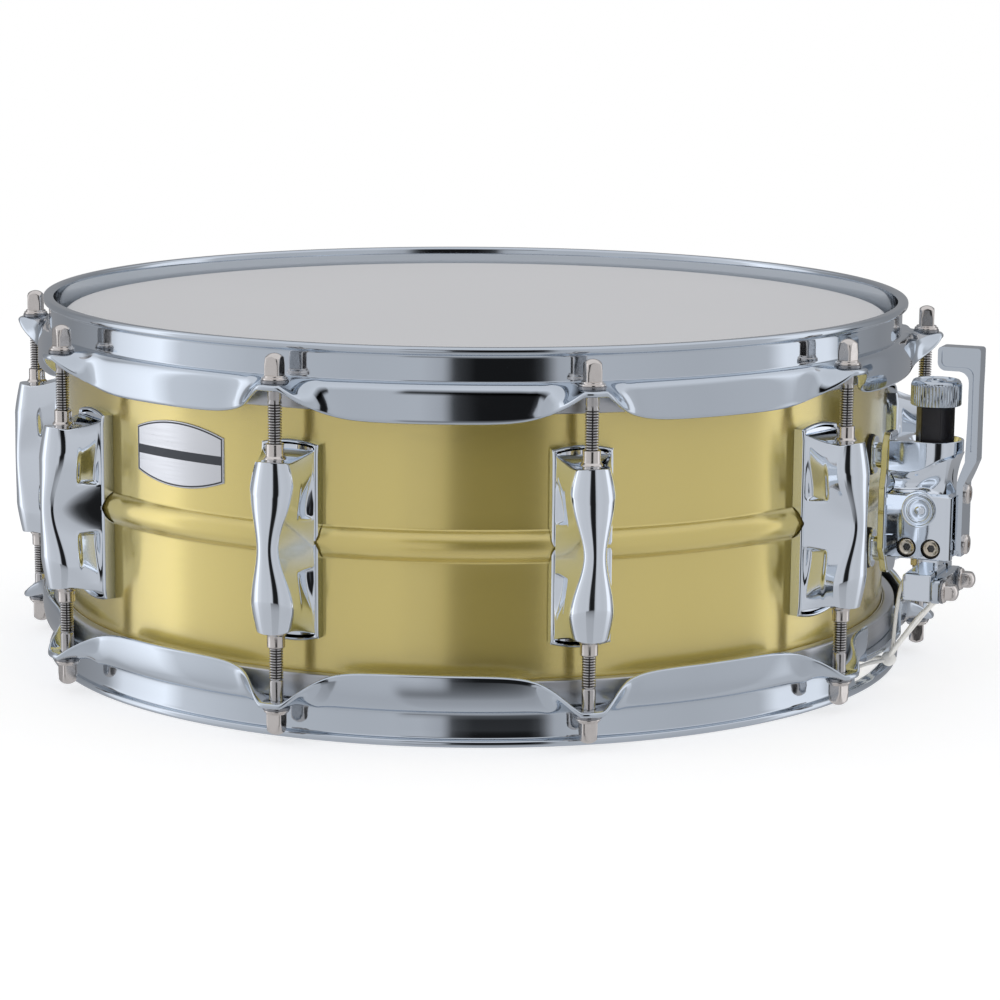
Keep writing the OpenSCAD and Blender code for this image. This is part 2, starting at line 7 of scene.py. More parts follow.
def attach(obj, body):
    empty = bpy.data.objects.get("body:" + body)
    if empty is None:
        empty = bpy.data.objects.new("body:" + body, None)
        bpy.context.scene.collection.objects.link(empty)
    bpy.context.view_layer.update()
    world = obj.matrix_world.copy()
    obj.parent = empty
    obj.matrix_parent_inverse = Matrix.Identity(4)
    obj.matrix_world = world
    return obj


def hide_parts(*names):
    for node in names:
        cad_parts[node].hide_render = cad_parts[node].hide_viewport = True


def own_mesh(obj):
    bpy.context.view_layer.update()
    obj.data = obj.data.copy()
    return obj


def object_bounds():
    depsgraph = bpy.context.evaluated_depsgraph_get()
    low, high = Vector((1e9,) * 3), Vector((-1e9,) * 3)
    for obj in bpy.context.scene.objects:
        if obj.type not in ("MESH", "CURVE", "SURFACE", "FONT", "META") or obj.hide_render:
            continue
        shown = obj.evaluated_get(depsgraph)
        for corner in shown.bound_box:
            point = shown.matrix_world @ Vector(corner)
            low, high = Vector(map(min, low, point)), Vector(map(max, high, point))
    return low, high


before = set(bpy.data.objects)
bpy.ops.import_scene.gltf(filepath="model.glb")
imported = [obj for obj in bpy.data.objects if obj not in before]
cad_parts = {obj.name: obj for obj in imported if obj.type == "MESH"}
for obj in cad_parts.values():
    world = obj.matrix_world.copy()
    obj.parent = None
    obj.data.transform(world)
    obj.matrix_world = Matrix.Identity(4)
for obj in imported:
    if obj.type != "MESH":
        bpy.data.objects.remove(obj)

CAD_BOX = [list(v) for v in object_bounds()]

# Driving sizes in millimetres; mesh tools turn them into metres
MM = 0.001
TOP = round(CAD_BOX[1][2] / MM, 1)
MID = TOP / 2
SHELL_R = 178.0
SHELL_FACE = SHELL_R + 0.06
GASKET_SEAT = SHELL_R + 0.05
EDGE = 7.4
BEAD_X = 174.4
BEAD_R = 7.2
ROD_R = 194.0
SHELF = 14.55
WASHER = (TOP - 14.7, TOP - 13.4)
LUG_END = 33.2
LUG_SCREWS = (MID - 24, MID + 24)
LUGS = [18 + 36 * i for i in range(10)]
VENT = (0, 0, MID + 30)
VENT_TURN = 72
BADGE_TURN = -108
STEM_X = 205.2
FEET = (56.1, 95.5)
CASING_SCREWS = (197.7, 207.9)
CASING_SCREW_Z = 60
EMBLEM = (202.6, 0, 75.8)
LEVER_PIN = (214.2, 0, 60)
CLAMP_BOLT_Y, CLAMP_BOLT_Z = 14, 43.2
CORD_Y = 9
BUTT_Z = 47
BUTT_CORD_X = 194.9
BOTH = (-1, 1)


# ---- camera ----
def add(name, data, place=None):
    obj = bpy.data.objects.new(name, data)
    bpy.context.scene.collection.objects.link(obj)
    if place is not None:
        obj.matrix_world = place
    return obj


def set_camera():
    data = bpy.data.cameras.new("camera")
    data.lens, data.sensor_width, data.clip_end = 110.36, 36.0, 20.0
    right = Vector((0.92322146, 0.38419284, 0.00761597))
    up = Vector((-0.07739322, 0.16649081, 0.98300107))
    back = Vector((0.37639398, -0.9081171, 0.18344181))
    place = Matrix((right, up, back)).transposed().to_4x4()
    place.translation = (0.51647, -1.21739, 0.30902)
    bpy.context.scene.camera = add("camera", data, place)


# ---- mesh tools ----
def smooth(obj, sharp=35):
    obj.data.shade_smooth()
    obj.data.set_sharp_from_angle(angle=math.radians(sharp))


def build(name, verts, faces, material, sharp=35):
    bm = bmesh.new()
    made = [bm.verts.new([c * MM for c in v]) for v in verts]
    for face in faces:
        if len(set(face)) > 2:
            bm.faces.new([made[i] for i in face])
    bmesh.ops.remove_doubles(bm, verts=bm.verts, dist=2e-7)
    bmesh.ops.dissolve_degenerate(bm, edges=bm.edges, dist=1e-8)
    bmesh.ops.recalc_face_normals(bm, faces=bm.faces)
    mesh = bpy.data.meshes.new(name)
    bm.to_mesh(mesh)
    bm.free()
    mesh.materials.append(material)
    obj = add(name, mesh)
    smooth(obj, sharp)
    return obj


def skin(rows, wrap_rows=False, wrap_cols=True, caps=True):
    """Vertices and faces of the surface through rows of points."""
    n, m = len(rows[0]), len(rows)
    verts = [p for row in rows for p in row]
    faces = []
    for i in range(m if wrap_rows else m - 1):
        a, b = i * n, ((i + 1) % m) * n
        for k in range(n if wrap_cols else n - 1):
            j = (k + 1) % n
            faces.append((a + k, a + j, b + j, b + k))
    if caps and not wrap_rows:
        faces += [tuple(range(n)), tuple(range((m - 1) * n, m * n))]
    return verts, faces


def settle(obj):
    """Put the modifiers' result into the mesh."""
    deps = bpy.context.evaluated_depsgraph_get()
    mesh = bpy.data.meshes.new_from_object(obj.evaluated_get(deps), depsgraph=deps)
    old = obj.data
    obj.modifiers.clear()
    obj.data = mesh
    bpy.data.meshes.remove(old)
    mesh.name = obj.name
    return obj


def cut(obj, cutters, operation="DIFFERENCE", sharp=35):
    """Apply the cutters one after the other, and remove them."""
    for cutter in cutters:
        mod = obj.modifiers.new("cut", "BOOLEAN")
        mod.operation, mod.solver, mod.object = operation, "EXACT", cutter
        settle(obj)
        bpy.data.objects.remove(cutter)
        smooth(obj, sharp)
    return obj


def unite(obj, pieces, sharp=35):
    return cut(obj, pieces, "UNION", sharp)


def soften(obj, width, segments=3, angle=40, sharp=40):
    mod = obj.modifiers.new("soften", "BEVEL")
    mod.width, mod.segments, mod.limit_method = width * MM, segments, "ANGLE"
    mod.angle_limit, mod.miter_outer, mod.harden_normals = math.radians(angle), "MITER_ARC", False
    settle(obj)
    smooth(obj, sharp)
    return obj


def crisp(obj):
    """Flat faces keep their own normals beside rounded edges."""
    mod = obj.modifiers.new("crisp", "WEIGHTED_NORMAL")
    mod.mode, mod.weight, mod.keep_sharp = "FACE_AREA", 80, True
    return settle(obj)


def ease(t):
    t = max(0.0, min(1.0, t))
    return t * t * (3 - 2 * t)


def ring(count, r, x=0.0, y=0.0):
    """Points round a circle; with a count of 6, the corners of a hexagon."""
    turns = [math.tau * k / count for k in range(count)]
    return [(x + r * math.cos(a), y + r * math.sin(a)) for a in turns]


def rect(u0, v0, u1, v1):
    return [(u0, v0), (u1, v0), (u1, v1), (u0, v1)]


def span(sign, a, b):
    return sorted((sign * a, sign * b))


def rounded(points, radius, steps=5):
    """Closed outline with its corners rounded; a point may carry its own radius as a third value."""
    out = []
    n = len(points)
    for i, p in enumerate(points):
        r = p[2] if len(p) > 2 else radius
        b = Vector(p[:2])
        a, c = Vector(points[i - 1][:2]) - b, Vector(points[(i + 1) % n][:2]) - b
        la, lc = a.length, c.length
        if r <= 0 or la < 1e-6 or lc < 1e-6:
            out.append((b.x, b.y))
            continue
        a, c = a / la, c / lc
        half = math.acos(max(-1, min(1, a.dot(c)))) / 2
        if half > math.radians(88):
            out.append((b.x, b.y))
            continue
        d = min(r / math.tan(half), la * 0.48, lc * 0.48)
        r = d * math.tan(half)
        centre = b + (a + c).normalized() * (r / math.sin(half))
        v0, v1 = b + a * d - centre, b + c * d - centre
        total = math.atan2(v0.x * v1.y - v0.y * v1.x, v0.dot(v1))
        for k in range(steps + 1):
            t = total * k / steps
            out.append((centre.x + v0.x * math.cos(t) - v0.y * math.sin(t),
                        centre.y + v0.x * math.sin(t) + v0.y * math.cos(t)))
    return out


AXES = {"x": lambda u, v, w: (w, u, v), "y": lambda u, v, w: (u, w, v), "z": lambda u, v, w: (u, v, w)}


def prism(name, outline, low, high, axis, material, edge=0.0, sharp=35):
    """Outline across the axis drawn out along it, with softened edges where edge is given."""
    rows = [[AXES[axis](u, v, w) for u, v in outline] for w in (low, high)]
    obj = build(name, *skin(rows), material, sharp)
    return soften(obj, edge, sharp=sharp) if edge else obj


def turned(name, profile, material, centre=(0, 0, 0), axis="z", segments=96, sharp=35):
    """Lathe: profile of (radius, height) about an axis through centre."""
    rows = []
    for u, v in ring(segments, 1):
        row = [AXES[axis](r * u, r * v, h) for r, h in profile]
        rows.append([[c + d for c, d in zip(p, centre)] for p in row])
    return build(name, *skin(rows, wrap_rows=True), material, sharp)


def bar(low, high, r, material, centre=(0, 0, 0), axis="z", segments=32, name="tool"):
    return turned(name, rect(0, low, r, high), material, centre, axis, segments)


def hex_tool(r, x, y, low, high, axis, material):
    return prism("tool", ring(6, r, x, y), low, high, axis, material)


def smooth_path(points, steps=8):
    """Catmull-Rom curve through the points."""
    p = [Vector(q) for q in points]
    p = [2 * p[0] - p[1]] + p + [2 * p[-1] - p[-2]]
    out = []
    for i in range(1, len(p) - 2):
        for k in range(steps):
            t = k / steps
            out.append(0.5 * (2 * p[i] + (p[i + 1] - p[i - 1]) * t
                              + (2 * p[i - 1] - 5 * p[i] + 4 * p[i + 1] - p[i + 2]) * t * t
                              + (3 * p[i] - p[i - 1] - 3 * p[i + 1] + p[i + 2]) * t ** 3))
    return out + [p[-2]]


def tube(path, wide, thick, sides, twist=0.0, lobes=0):
    """Oval cord with domed ends along a path. Lobes give the ropy outline of a braid."""
    rows = []
    n = len(path)
    for i, p in enumerate(path):
        t = (path[min(i + 1, n - 1)] - path[max(i - 1, 0)]).normalized()
        u = Vector((0, 1, 0)).cross(t).normalized()
        v = t.cross(u)
        row = []
        for k in range(sides):
            a = math.tau * k / sides
            f = 1 + (0.035 * math.cos(lobes * (a + twist * i)) if lobes else 0)
            row.append(p + u * (thick * f * math.cos(a)) + v * (wide * f * math.sin(a)))
        rows.append(row)
    domes = []
    for end, beside in ((0, 1), (-1, -2)):
        c = path[end]
        out = (c - path[beside]).normalized() * (min(wide, thick) * 0.8)
        domes.append([[c + (w - c) * math.sqrt(1 - q * q) + out * q for w in rows[end]]
                      for q in (0.35, 0.65, 0.88, 0.98)])
    return build("cord", *skin(domes[0][::-1] + rows + domes[1]), CORD, 60)


def join(name, objects):
    bm = bmesh.new()
    mats = []
    for o in objects:
        mats += [m for m in o.data.materials if m not in mats]
        start = len(bm.faces)
        mesh = o.data.copy()
        mesh.transform(o.matrix_world)
        bm.from_mesh(mesh)
        bm.faces.ensure_lookup_table()
        own = list(o.data.materials)
        for f in bm.faces[start:]:
            f.material_index = mats.index(own[min(f.material_index, len(own) - 1)])
        bpy.data.meshes.remove(mesh)
    mesh = bpy.data.meshes.new(name)
    bm.to_mesh(mesh)
    bm.free()
    for m in mats:
        mesh.materials.append(m)
    for o in objects:
        bpy.data.objects.remove(o)
    return add(name, mesh)


def spin(degrees):
    return Matrix.Rotation(math.radians(degrees), 4, "Z")


def lower():
    """Turn a piece of the upper side over to the lower side, about the X axis at mid height."""
    return Matrix.Translation((0, 0, TOP * MM)) @ Matrix.Rotation(math.pi, 4, "X")


def shifted(obj, matrix):
    obj.data.transform(matrix)
    return obj


def turned_over(obj):
    return shifted(obj, lower())


def at_butt(obj):
    return shifted(obj, spin(180))


def put(obj, body, slot, *nodes):
    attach(obj, body)
    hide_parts(*nodes)
    return obj


def repaint(obj, material, test):
    """Give a second material to the faces whose centre, in millimetres, and normal pass the test."""
    obj.data.materials.append(material)
    for face in obj.data.polygons:
        if test(face.center / MM, face.normal):
            face.material_index = len(obj.data.materials) - 1


# ---- shader tools ----
def node(tree, kind, inputs=None, **settings):
    """New shader node; each input is a value or another node's output."""
    made = tree.nodes.new("ShaderNode" + kind)
    for key, value in settings.items():
        setattr(made, key, value)
    for key, value in (inputs or {}).items():
        if isinstance(value, bpy.types.NodeSocket):
            tree.links.new(value, made.inputs[key])
        else:
            made.inputs[key].default_value = value
    return made


def sums(tree, operation, *values):
    return node(tree, "Math", dict(enumerate(values)), operation=operation).outputs["Value"]


def scaled(tree, value, low, high, first=0.0, last=1.0, kind="LINEAR"):
    """The value's range from low to high, spread from first to last."""
    ends = {"Value": value, "From Min": low, "From Max": high, "To Min": first, "To Max": last}
    return node(tree, "MapRange", ends, interpolation_type=kind).outputs["Result"]


def blended(tree, factor, a, b, **settings):
    return node(tree, "Mix", {"Factor": factor, "A": a, "B": b}, **settings).outputs["Result"]


def noise(tree, vector, scale, detail):
    return node(tree, "TexNoise", {"Vector": vector, "Scale": scale, "Detail": detail}).outputs["Fac"]


def ramp(tree, value, stops):
    made = node(tree, "ValToRGB", {"Fac": value})
    made.color_ramp.interpolation = "LINEAR"
    points = made.color_ramp.elements
    while len(points) > 1:
        points.remove(points[-1])
    points[0].position, points[0].color = stops[0][0], (*stops[0][1], 1)
    for place, color in stops[1:]:
        points.new(place).color = (*color, 1)
    return made.outputs["Color"]


# ---- materials ----
def surface(name, color, other, metallic, rough, size, bump, depth=0.0001, patch=12.0, grain=(1, 1, 1),
            detail=4.0, specular=0.5, streak=0.0, bump_size=None):
    """Principled surface whose colour, roughness and relief vary with object-space noise."""
    m = bpy.data.materials.new(name)
    m.use_nodes = True
    tree = m.node_tree
    place = node(tree, "TexCoord").outputs["Object"]
    along = node(tree, "Mapping", {"Vector": place, "Scale": grain}).outputs["Vector"]
    fine = noise(tree, along, size, detail)
    shade = blended(tree, streak, noise(tree, place, patch, 3.0), fine)
    relief = noise(tree, along, bump_size, 5.0) if bump_size else fine
    bumps = node(tree, "Bump", {"Strength": bump, "Distance": depth, "Height": relief})
    bsdf = tree.nodes["Principled BSDF"].inputs
    bsdf["Metallic"].default_value = metallic
    bsdf["Specular IOR Level"].default_value = specular
    tint = blended(tree, shade, (*color, 1), (*other, 1), data_type="RGBA")
    tree.links.new(tint, bsdf["Base Color"])
    tree.links.new(scaled(tree, fine, 0.3, 0.7, *rough), bsdf["Roughness"])
    tree.links.new(bumps.outputs["Normal"], bsdf["Normal"])
    return m


def metal(name, color, other, rough, size, bump, depth, patch, **more):
    return surface(name, color, other, 1.0, rough, size, bump, depth, patch, **more)


def brushed(material):
    """Round strokes under a clear lacquer."""
    tree = material.node_tree
    bsdf = tree.nodes["Principled BSDF"].inputs
    tangent = node(tree, "Tangent", direction_type="RADIAL", axis="Z")
    tree.links.new(tangent.outputs["Tangent"], bsdf["Tangent"])
    for name, value in (("Anisotropic", 1.0), ("Anisotropic Rotation", 0.25), ("Coat Weight", 1.0),
                        ("Coat IOR", 2.05), ("Coat Roughness", 0.17)):
        bsdf[name].default_value = value
    return material


BRASS = brushed(surface("brushed_brass", (0.90, 0.725, 0.19), (0.80, 0.63, 0.155), 0.7, (0.2, 0.27), 60.0,
                        0.04, 0.00002, 6.0, (2, 2, 60), 5.0, 0.2, 0.4))
CHROME = metal("chrome", (0.64, 0.695, 0.755), (0.62, 0.67, 0.73), (0.04, 0.075), 90.0, 0.02, 0.00001, 14.0,
               bump_size=60.0)
# painted light: a brighter copy of the same chrome plating as CHROME, for the castings, standing in for the
# extra light they catch
LIT_CASTING = metal("chrome_casting_painted_bright", (0.84, 0.89, 0.95), (0.80, 0.85, 0.91), (0.035, 0.075), 160.0, 0.02,
                0.00001, 25.0, bump_size=140.0)
NICKEL = metal("nickel", (0.78, 0.735, 0.70), (0.72, 0.67, 0.63), (0.12, 0.22), 400.0, 0.08, 0.00003, 60.0)
STEEL = metal("plated_steel", (0.62, 0.62, 0.63), (0.52, 0.52, 0.54), (0.2, 0.34), 500.0, 0.1, 0.00003, 60.0)
THREAD = metal("thread_steel", (0.62, 0.60, 0.59), (0.5, 0.485, 0.48), (0.12, 0.24), 500.0, 0.1, 0.00002,
               70.0)
# dark paint that stands in for shade: painted shade in thread grooves, hex sockets and the gaps round screw
# heads
PAINTED_SHADE = metal("painted_groove_shade", (0.13, 0.125, 0.12), (0.08, 0.078, 0.076), (0.2, 0.34), 500.0, 0.1, 0.00002,
               70.0)
DULL = metal("washer_steel", (0.36, 0.365, 0.38), (0.28, 0.285, 0.3), (0.2, 0.34), 600.0, 0.1, 0.00003, 80.0)
WARM = metal("warm_steel", (0.78, 0.7, 0.58), (0.68, 0.6, 0.48), (0.1, 0.2), 500.0, 0.06, 0.00002, 90.0)
ALUMINIUM = metal("flesh_aluminium", (0.62, 0.63, 0.65), (0.55, 0.56, 0.58), (0.3, 0.42), 1.0, 0.2, 0.00003,
                  20.0, grain=(10, 10, 900), detail=5.0)
PLATE_BRASS = metal("plate_brass", (0.74, 0.56, 0.28), (0.66, 0.48, 0.22), (0.22, 0.34), 300.0, 0.1,
                    0.00003, 60.0)
WIRE = metal("steel_wire", (0.7, 0.71, 0.73), (0.6, 0.61, 0.63), (0.16, 0.26), 600.0, 0.05, 0.00002, 60.0)
SILVER = metal("badge_silver", (0.74, 0.75, 0.77), (0.66, 0.67, 0.7), (0.16, 0.28), 1.0, 0.15, 0.00002, 40.0,
               grain=(40, 40, 900))
BAND = surface("badge_dark", (0.055, 0.06, 0.07), (0.075, 0.08, 0.09), 0.6, (0.3, 0.42), 500.0, 0.1,
               0.00002, 60.0)
FILM = surface("coated_film", (0.785, 0.775, 0.76), (0.825, 0.815, 0.80), 0.0, (0.62, 0.8), 1400.0, 0.25,
               0.00006, 5.0, specular=0.35)
CLEAR = surface("snare_film", (0.8, 0.8, 0.78), (0.75, 0.75, 0.73), 0.0, (0.2, 0.3), 300.0, 0.02, patch=8.0)
RUBBER = surface("black_rubber", (0.018, 0.018, 0.02), (0.03, 0.03, 0.032), 0.0, (0.5, 0.68), 700.0, 0.25,
                 0.00006, 60.0)
PLASTIC = surface("black_plastic", (0.012, 0.011, 0.014), (0.02, 0.018, 0.022), 0.0, (0.28, 0.4), 500.0, 0.15,
                  0.00003, 60.0)
CORD = surface("nylon_cord", (0.95, 0.94, 0.9), (0.9, 0.885, 0.84), 0.0, (0.5, 0.7), 900.0, 0.5, 0.00012,
               120.0)


# ---- shell ----
def mirrored(profile):
    """The same profile on the other side of mid height, in the order that carries an outline on."""
    return [(r, TOP - z) for r, z in profile[::-1]]


def make_shell():
    inner_r, fillet, wall_low = 6.0, 1.6, 11.5
    reach = SHELL_R - BEAD_X + fillet
    rise = math.sqrt((BEAD_R + fillet) ** 2 - reach ** 2)
    turn = math.atan2(rise, reach)
    side = [(176.8, 12.0), (174.4, 8.3), (175.0, EDGE), (175.4, 7.7), (177.8, 10.1), (SHELL_R, 10.6)]
    side += [(SHELL_R, wall_low + (MID - rise - wall_low) * k / 10) for k in range(11)]
    for a in (turn * k / 7 for k in range(1, 8)):
        side.append((SHELL_R + fillet - fillet * math.cos(a), MID - rise + fillet * math.sin(a)))
    outer = [turn * (k / 12 - 1) for k in range(1, 24)]
    half = math.acos((176.8 - BEAD_X) / inner_r)
    inner = [half * (1 - k / 8) for k in range(17)]
    points = side + [(BEAD_X + BEAD_R * math.cos(t), MID + BEAD_R * math.sin(t)) for t in outer]
    points += mirrored(side)
    points += [(BEAD_X + inner_r * math.cos(t), MID + inner_r * math.sin(t)) for t in inner]
    shell = turned("shell_brushed", points, BRASS, segments=360, sharp=28)
    hole = bar(170, 186, 5, BRASS, VENT, "x", 48)
    hole.matrix_world = spin(VENT_TURN)
    put(cut(shell, [hole], sharp=28), "root", "brass_shell", "shell")


# ---- hoops and heads ----
def away(phi, places):
    """Degrees from phi to the nearest of the places."""
    return min(abs((phi - a + 180) % 360 - 180) for a in places)


def hoop_section(phi, gate):
    """Outline of (radius, depth) at an angle: rim, wall, shelf, and a skirt that opens at the lugs."""
    sheet, wall = 1.15, 182.25
    u = away(phi, LUGS)
    f = 1 - math.exp(-((max(0, u - 1.2) / 3.2) ** 1.3))
    g = 0.9 * math.exp(-((u / 3.9) ** 2.6)) + 0.1 * math.exp(-((u / 7) ** 2))
    p0 = Vector((183.9, SHELF))
    end = Vector((187.25 + 13 * g, 15.9 + 12.0 * f))
    way = Vector((g, 1 - g)).normalized()
    p1, p2 = p0 + Vector((3.0, 0)), end - way * (7.5 + 4 * min(1.0, g / 0.3))
    if gate:
        end, way = Vector((187.2, SHELF)), Vector((1, 0))
        p1, p2 = p0 + Vector((1, 0)), end - Vector((1, 0))
    centre = [Vector((wall, d)) for d in (4.6, 6.5, 8.5, 10.5, 12.2)]
    for s in (k / 6 for k in range(1, 7)):
        corner = Vector((wall, 12.2)) * (1 - s) ** 2 + Vector((wall, SHELF)) * 2 * s * (1 - s)
        centre.append(corner + p0 * s * s)
    for s in (k / 18 for k in range(1, 19)):
        centre.append(p0 * (1 - s) ** 3 + p1 * 3 * s * (1 - s) ** 2 + p2 * 3 * s * s * (1 - s) + end * s ** 3)
    ahead = [centre[i + 1] - centre[max(i - 1, 0)] for i in range(len(centre) - 1)] + [way]
    normals = [Vector((d.y, -d.x)) for d in (v.normalized() for v in ahead)]
    rim = [(181.1, 1.3), (181.2, 0.85), (181.4, 0.5), (181.7, 0.25), (182.1, 0.08), (182.8, 0), (184.5, 0),
           (184.95, 0.06), (185.3, 0.22), (185.6, 0.55), (185.77, 1.0), (185.8, 1.5), (185.75, 2.0),
           (185.55, 2.5), (185.25, 2.8), (184.8, 2.97), (184.3, 3.0), (183.85, 3.08), (183.55, 3.35),
           (183.42, 3.9)]
    out = [Vector(p) for p in rim] + [c + n * sheet for c, n in zip(centre, normals)]
    for a in (math.pi * k / 6 for k in range(1, 6)):
        out.append(end + normals[-1] * (sheet * math.cos(a)) + way * (sheet * math.sin(a)))
    out += [c - n * sheet for c, n in zip(centre[::-1], normals[::-1])]
    return [(p.x, p.y) for p in out]


def make_hoop(name, node_name, below):
    gates, gate_half = (0, 180), 8.0
    angles = []
    for a in LUGS:
        k = -18.0
        while k < 18.0 - 1e-6:
            angles.append(a + k)
            k += 0.25 if -6.0 - 1e-6 <= k < 6.0 - 1e-6 else 0.75
    if below:
        angles += [c + sign * (gate_half + d) for c in gates for sign in BOTH for d in (0, 0.05)]
    rows = []
    for phi in sorted(set(round(a % 360, 3) for a in angles)):
        section = hoop_section(phi, below and away(phi, gates) < gate_half + 0.02)
        c, s = math.cos(math.radians(phi)), math.sin(math.radians(phi))
        rows.append([(r * c, r * s, d if below else TOP - d) for r, d in section])
    hoop = build(name, *skin(rows, wrap_rows=True), CHROME, 50)
    low = 10 if below else TOP - 24
    tools = []
    for a in LUGS:
        x, y = ROD_R * math.cos(math.radians(a)), ROD_R * math.sin(math.radians(a))
        tools.append(turned("hole", rect(0, 0, 3.2, 14), CHROME, (x, y, low), "z", 40))
    if below:
        window = rounded(rect(-26, 3.3, 26, 13.2), 2.2)
        tools += [prism("window", window, *span(sign, 178.0, 186.0), "x", CHROME) for sign in BOTH]
    put(cut(hoop, [join("tools", tools)], sharp=50), "root", "chrome", node_name)


def make_head(side, film, slot, place):
    top, low, under = TOP - EDGE, 129.3, 0.05
    profile = [(0, top + under), (100, top + under), (174.6, top + under), (175.3, top - 0.1),
               (176.4, top - 0.9), (178.2, top - 2.9), (178.3, top - 3.6), (178.45, top - 10.5),
               (178.45, low), (178.8, low), (178.8, top - 10.5), (178.6, top - 3.4), (178.45, top - 2.6),
               (176.6, top - 0.6), (175.5, top + 0.25), (174.6, top + 0.35), (100, top + 0.35),
               (0, top + 0.35)]
    head = turned(side + "_film", profile, film, segments=240, sharp=60)
    flesh = turned(side + "_flesh_ring", rounded(rect(179.0, 128.9, 183.6, 138.9), 0.8, 3), ALUMINIUM,
                   segments=240, sharp=40)
    put(shifted(head, place), "root", slot, side + "_head")
    put(shifted(flesh, place), "root", "flesh_aluminium", side + "_flesh_hoop")


# ---- lugs ----
def casing_point(theta, s):
    """s from 0 at the waist through 1 at the crease to 2 at the end face, for the upper half."""
    tilt = 1 - math.cos(theta)
    crease, face = 19.9 + 4.5 * tilt, LUG_END - 1.2 * min(tilt, 1.0)
    if s <= 1:
        w = (0.5 - 0.5 * math.cos(math.pi * s)) ** 0.92
        rho, off, z = 4.8 + 4.6 * w, 5.5 - 4.9 * w, crease * s
    else:
        q = s - 1
        rho, off, z = 9.4 - 1.9 * q ** 1.35, 0.6 - 0.4 * q, crease + (face - crease) * q
    return ROD_R + off + rho * math.cos(theta), rho * math.sin(theta), z


def hollow(lug):
    """Draw the four hollows into the flanks of a lug's casting."""
    for vert in lug.data.vertices:
        x, y, z = (c / MM for c in vert.co)
        u, v = x - 182.0, abs(z - MID)
        if 0.8 < u < 11 and 9 < v < 32:
            bed = 7.9 + 3.0 * ease((v - 12) / 19)
            over = abs(y) - bed
            depth = 0.5 * (over + math.hypot(over, 0.45)) * ease((u - 0.8) / 1.5) * ease((v - 9.3) / 1.7)
            depth *= ease((10.5 - u) / 2) * ease((32 - v) / 2)
            vert.co.y = math.copysign(abs(y) - depth, y) * MM


def make_casing():
    limit, foot_x, foot_y, foot_count = math.radians(77), 182.0, 11.1, 32
    upper = [1.0, 1.012] + [1 + k / 18 for k in range(1, 18)] + [1.97, 2.0]
    rows = []
    for s in [-v for v in upper[::-1]] + [k / 36 for k in range(-35, 36)] + upper:
        row = []
        for k in range(41):
            x, y, z = casing_point(-limit + 2 * limit * k / 40, abs(s))
            row.append((x, y, MID + math.copysign(z, s)))
        x, y, z = casing_point(limit, abs(s))
        flank = []
        for q in (k / foot_count for k in range(1, foot_count + 1)):
            spread = 1 + 0.105 * q ** 1.5 * min(1, max(0, (abs(s) - 0.6) / 0.9))
            flank.append((x + (foot_x - x) * q, y + (foot_y - y) * (0.8 * q + 0.2 * q * q),
                          MID + math.copysign(z * spread, s)))
        rows.append(row + flank + [(x, -y, z) for x, y, z in flank[::-1]])
    # softened end faces, dished towards the shell
    lids = []
    for edge, sign in ((rows[0], -1), (rows[-1], 1)):
        lid = []
        for shrink, lift in ((0.985, 0.14), (0.955, 0.22), (0.91, 0.22), (0.8, 0.1), (0.65, 0.0), (0.45, 0.0),
                             (0.25, 0.0)):
            w = shrink ** 2
            lid.append([(190.0 + (x - 190.0) * shrink, y * shrink,
                         z * w + (MID + sign * 32.6) * (1 - w) + sign * lift) for x, y, z in edge])
        lids.append(lid)
    return build("casing", *skin(lids[0][::-1] + rows + lids[1]), LIT_CASTING, 32)


def make_plate():
    """Base plate bent to the shell, with arched ends, rounded edges and a dished field at each end."""
    half_w, half_h, edge_r, face = 12, 39.5, 0.8, 182.6
    ys = [half_w, 11.96, 11.82, 11.55, 11.2, 10.8, 10.2, 9, 7.5, 6, 4, 2]
    rows = []
    for y in [-y for y in ys] + [0] + ys[::-1]:
        half = half_h - 1.8 * (y / half_w) ** 2
        part = []
        for d in (0, 0.05, 0.2, 0.45, 0.8, 1.15, 1.5, 2.2, 3.2, 4.4, 6, 9, 14, 20, 26, 32):
            edge, side = min(1.0, d / edge_r), min(1.0, (half_w - abs(y)) / edge_r)
            round_off = edge_r * min(1.0, (1 - edge) ** 2 + (1 - side) ** 2)
            dish = ease((d - 0.9) / 1.2) * (1 - ease((abs(y) - 9.6) / 1.2))
            rim = face - 0.5 * (1 - ease(d / 5)) - 1.5 * dish * (1 - ease((d - 5) / 5))
            part.append((rim - round_off, y, half - d))
        front = [(x, y, MID - z) for x, y, z in part] + [(part[-1][0], y, MID)]
        front += [(x, y, MID + z) for x, y, z in part[::-1]]
        back = math.sqrt(SHELL_FACE ** 2 - y * y)
        rows.append(front + [(back, y, z) for x, y, z in front[::-1]])
    return build("plate", *skin(rows), LIT_CASTING, 32)


def make_lugs():
    lug = unite(make_plate(), [make_casing()], 32)
    bead = []
    for a in (math.radians(-6 + 0.5 * k) for k in range(25)):
        bead.append([((BEAD_X + 8.6 * u) * math.cos(a), (BEAD_X + 8.6 * u) * math.sin(a), MID + BEAD_R * v)
                     for u, v in ring(40, 1)])
    tools = [build("bead", *skin(bead), LIT_CASTING)]
    for sign, screw_z in zip(BOTH, LUG_SCREWS):
        ends = sorted((MID + sign * 16.6, MID + sign * 40))
        tools.append(bar(*ends, 3.57, LIT_CASTING, (ROD_R, 0, 0), "z", 48))
        tools.append(bar(176, 188, 2.5, LIT_CASTING, (0, 0, screw_z), "x"))
    cut(lug, [join("tools", tools)], sharp=32)
    soften(lug, 0.4, angle=32)
    hollow(lug)
    smooth(lug, 50)
    crisp(lug)
    for i, a in enumerate(LUGS):
        put(add(f"lug_{i + 1}_casting", lug.data, spin(a)), "root", "chrome", f"lug_{i + 1}")
    bpy.data.objects.remove(lug)


